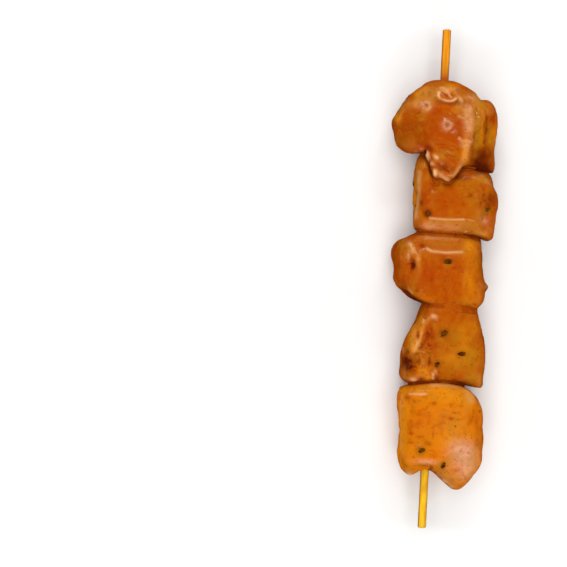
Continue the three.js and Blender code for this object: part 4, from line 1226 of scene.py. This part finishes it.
def scatter(skin, count, above):
    # grid points of a skin and their normals, drawn by their share of its open, clean area: off
    # the stick, above a height and clear of both walls
    offStick, offWall = 6, 1.2
    points = skin["points"]
    x, y, z = points[..., 0], points[..., 1], points[..., 2]
    clear = (np.hypot(x, z) > offStick) & (z > above)
    clear &= y - wallAt(skin["low"], x, z) > offWall
    clear &= wallAt(skin["high"], x, z) - y > offWall
    chance = np.where(clear, skin["area"], 0).ravel()
    chosen = random.choice(chance.size, count, replace=False, p=chance / chance.sum())
    return points.reshape(-1, 3)[chosen], skin["normals"].reshape(-1, 3)[chosen]


def scatterOnAll(count, above):
    # as many places on every chunk, with their normals
    drawn = [scatter(skin, count, above) for skin in skins]
    return [np.concatenate(part) for part in zip(*drawn)]


def nearestTop(spots):
    # for each x, y as the camera sees it the highest skin point of any chunk close to it
    points, normals = (np.concatenate([skin[key].reshape(-1, 3) for skin in skins])
                       for key in ("points", "normals"))
    upward = (normals[:, 2] > 0.15) & (points[:, 2] > 2)
    points, normals = points[upward], normals[upward]
    inView = seen(points)
    away = np.hypot(spots[:, None, 0] - inView[None, :, 0], spots[:, None, 1] - inView[None, :, 1])
    best = np.argmin(away - 0.02 * points[None, :, 2], axis=1)
    return points[best], normals[best]


def speckMaterial(name, tones, roughness, coat):
    # two dry tones in soft spots
    material, wire, place = newMaterial(name)
    first, second = (linear(*tone) for tone in tones)
    tone = noiseAt(wire, place, 900, 1, 0.5)
    colour = layered(wire, first, [(tone.between(0.4, 0.6), second)])
    finishSurface(wire, colour, roughness + 0.1 * tone,
                  {**wetFilm, "Coat Weight": coat, "Coat Roughness": 0.15})
    return material


def scraps(name, places, facing, turns, sizes, bends, shape, material):
    # one piece of pebbles, flat on the meat and turned about its normals
    frames = surfaceFrames(facing, turns)
    points, faces = pebbles(places, frames, sizes, shape["outline"], bends, shape["around"], shape["rows"])
    return makePiece(name, points, faces, material)


# spots: x, y, half length, half width and turn in degrees of the flakes on top. A few more are
# drawn where the meat is steep and below a height, with half lengths, half widths and bends in
# these ranges. thick: half thickness, and lift: how high above the meat their middles lie.
herbs = {
    "spots": np.array([
        (-5.5, 45.5, 1.3, 0.8, 30), (-3.5, 23.5, 0.9, 0.7, 80), (17.8, 26, 1.1, 0.7, 20),
        (4.5, 6.5, 1.6, 0.9, 8), (4.7, -19.5, 1.4, 0.8, 50), (11.4, -26.6, 1.5, 0.7, 5),
        (2.6, -31, 1.0, 0.8, 70), (-1.4, -62.1, 1.2, 0.8, 40), (6.6, -67.3, 1.7, 0.7, 66),
        (-8.6, 26, 0.6, 0.4, 70),
    ]),
    "perChunk": 7, "above": -9, "below": 2, "steep": 0.45, "lengths": (0.5, 1.3),
    "widths": (0.3, 0.75), "bends": (-0.05, 0.25), "thick": 0.13, "lift": 0.08,
    "tones": [(102, 56, 6), (64, 26, 2)],
    "shape": {"outline": [(2, 0.1), (3, 0.1), (5, 0.08), (7, 0.05)], "around": 18, "rows": 6},
}
spots = herbs["spots"]
topPlaces, topFacing = nearestTop(spots)
places, facing = scatterOnAll(herbs["perChunk"], herbs["above"])
onFlank = (np.abs(facing[:, 2]) < herbs["steep"]) & (places[:, 2] < herbs["below"])
places = np.concatenate([topPlaces, places[onFlank]])
facing = np.concatenate([topFacing, facing[onFlank]])
count = np.count_nonzero(onFlank)
turns = np.concatenate([np.radians(spots[:, 4]), random.uniform(0, math.pi, count)])
lengths = np.concatenate([spots[:, 2], random.uniform(*herbs["lengths"], count)])
widths = np.concatenate([spots[:, 3], random.uniform(*herbs["widths"], count)])
sizes = np.stack([lengths, widths, np.full(len(lengths), herbs["thick"])], axis=1)
bends = random.uniform(*herbs["bends"], len(lengths))
piece = scraps("herb_flakes", places + facing * herbs["lift"], facing, turns, sizes, bends,
               herbs["shape"], speckMaterial("dried_herb", herbs["tones"], roughness=0.6, coat=0.0))
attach(piece, "root")

# lengths: half lengths, of which each speck keeps the share shortened; widths and thick: shares of
# what is left.
specks = {
    "perChunk": {"paprika_specks": 70, "pepper_specks": 12}, "above": -11, "lengths": (0.12, 0.3),
    "shortened": (0.6, 1), "widths": (0.5, 1), "thick": 0.45,
    "tones": {"paprika_specks": [(160, 56, 6), (130, 42, 6)],
              "pepper_specks": [(104, 56, 14), (76, 38, 10)]},
    "shape": {"outline": [(2, 0.15), (3, 0.15)], "around": 7, "rows": 4},
}
for name, perChunk in specks["perChunk"].items():
    places, facing = scatterOnAll(perChunk, specks["above"])
    count = len(places)
    length = random.uniform(*specks["lengths"], count) * random.uniform(*specks["shortened"], count)
    width = length * random.uniform(*specks["widths"], count)
    sizes = np.stack([length, width, length * specks["thick"]], axis=1)
    turns = random.uniform(0, math.pi, count)
    piece = scraps(name, places, facing, turns, sizes, np.zeros(count), specks["shape"],
                   speckMaterial(name, specks["tones"][name], roughness=0.45, coat=0.6))
    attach(piece, "root")

# radius: the smallest, and what is added to it times the square of share, so that most droplets
# are small; widths and thick: shares of the radius.
droplets = {
    "perChunk": 5, "above": -11, "radius": (0.15, 0.6), "share": (0.25, 1), "widths": (0.8, 1),
    "thick": 0.35, "tones": [(176, 80, 8), (166, 72, 8), (146, 58, 8)],
    "shape": {"outline": [(2, 0.06)], "around": 14, "rows": 8},
}
places, facing = scatterOnAll(droplets["perChunk"], droplets["above"])
count = len(places)
smallest, added = droplets["radius"]
radius = random.uniform(*droplets["share"], count) ** 2 * added + smallest
width = radius * random.uniform(*droplets["widths"], count)
sizes = np.stack([radius, width, radius * droplets["thick"]], axis=1)
turns = random.uniform(0, math.pi, count)
piece = scraps("marinade_droplets", places, facing, turns, sizes, np.zeros(count), droplets["shape"],
               marinadeMaterial("marinade_drops", droplets["tones"]))
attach(piece, "root")
print("herbs, spices and droplets made")


# The floor's half width and where it begins and ends to glow, in metres, and the lamps: name,
# place, width and depth, watts, and whether wet surfaces show it.
studio = {
    "floorHalf": 2.0, "glow": (0.2, 1.2), "glowStrength": 0.54, "worldStrength": 0.92,
    "panels": [
        ("north_strip", (0.0, 0.46, 0.5), (0.5, 0.05), 1.4, True),
        ("south_strip", (0.0, -0.46, 0.5), (0.5, 0.05), 1.4, True),
        ("ceiling", (-0.1, 0.0, 1.2), (1.2, 1.2), 7.6, False),
    ],
}


def makeFloor():
    # wet surfaces don't show it, and far off it is as pale as the horizon
    material, wire, place = newMaterial("floor")
    tone = noiseAt(wire, place, 30, 2, 0.5)
    colour = layered(wire, linear(243, 243, 242), [(tone, linear(247, 247, 246))])
    away = wire.add("ShaderNodeVectorMath", {"operation": "LENGTH"}, {0: place}, "Value")
    glow = away.between(*studio["glow"]) * studio["glowStrength"]
    finishSurface(wire, colour, 0.7, {"Emission Color": glow, "Emission Strength": 1.0})
    half = studio["floorHalf"] / millimetre
    corners = [(x * half, y * half, tableZ) for x, y in ((-1, -1), (1, -1), (1, 1), (-1, 1))]
    floor = makePiece("floor", np.array(corners), [np.array([[0, 1, 2, 3]])], material)
    floor.visible_glossy = False


def addPanel(name, position, size, watts, mirrored):
    # a flat lamp that faces the kebab; wet surfaces show it only if it is mirrored
    light = bpy.data.lights.new(name, "AREA")
    light.shape, light.size, light.size_y, light.energy = "RECTANGLE", size[0], size[1], watts
    lamp = bpy.data.objects.new(name, light)
    bpy.context.scene.collection.objects.link(lamp)
    lamp.location = position
    towards = -lamp.location.copy()
    lamp.rotation_euler = towards.to_track_quat("-Z", "Y").to_euler()
    lamp.visible_glossy = mirrored


def makeWorld():
    # pale near the horizon and dim overhead; wet surfaces don't show it
    world = bpy.data.worlds.new("studio")
    bpy.context.scene.world = world
    world.use_nodes = True
    world.node_tree.nodes.clear()
    wire = Wire(world.node_tree)
    direction = wire.add("ShaderNodeTexCoord", {}, {}, "Generated")
    height = wire.add("ShaderNodeSeparateXYZ", {}, {0: direction}, "Z")
    stops = [(place, (grey, grey, grey, 1)) for place, grey in ((0.0, 1.0), (0.25, 0.8), (0.55, 0.3))]
    tone = wire.add("ShaderNodeValToRGB", {"stops": stops}, {0: height})
    back = wire.add("ShaderNodeBackground", {}, {"Color": tone, "Strength": studio["worldStrength"]})
    wire.add("ShaderNodeOutputWorld", {}, {"Surface": back})
    world.cycles_visibility.glossy = False


def makeCamera():
    # straight above the middle of the view, which lies off to the kebab's left
    view = bpy.data.objects.new("camera", bpy.data.cameras.new("camera"))
    view.data.lens, view.data.sensor_width = camera["lens"], camera["sensor"]
    view.location = np.array([*camera["centre"], camera["height"]]) * millimetre + axisPoint
    view.rotation_euler = (0, 0, math.radians(camera["turn"]))
    view.data.clip_start, view.data.clip_end = 0.01, 20
    bpy.context.scene.collection.objects.link(view)
    bpy.context.scene.camera = view


makeFloor()
makeWorld()
for panel in studio["panels"]:
    addPanel(*panel)
makeCamera()
bpy.context.scene.view_settings.view_transform = "Standard"
print("floor, lights and camera made")
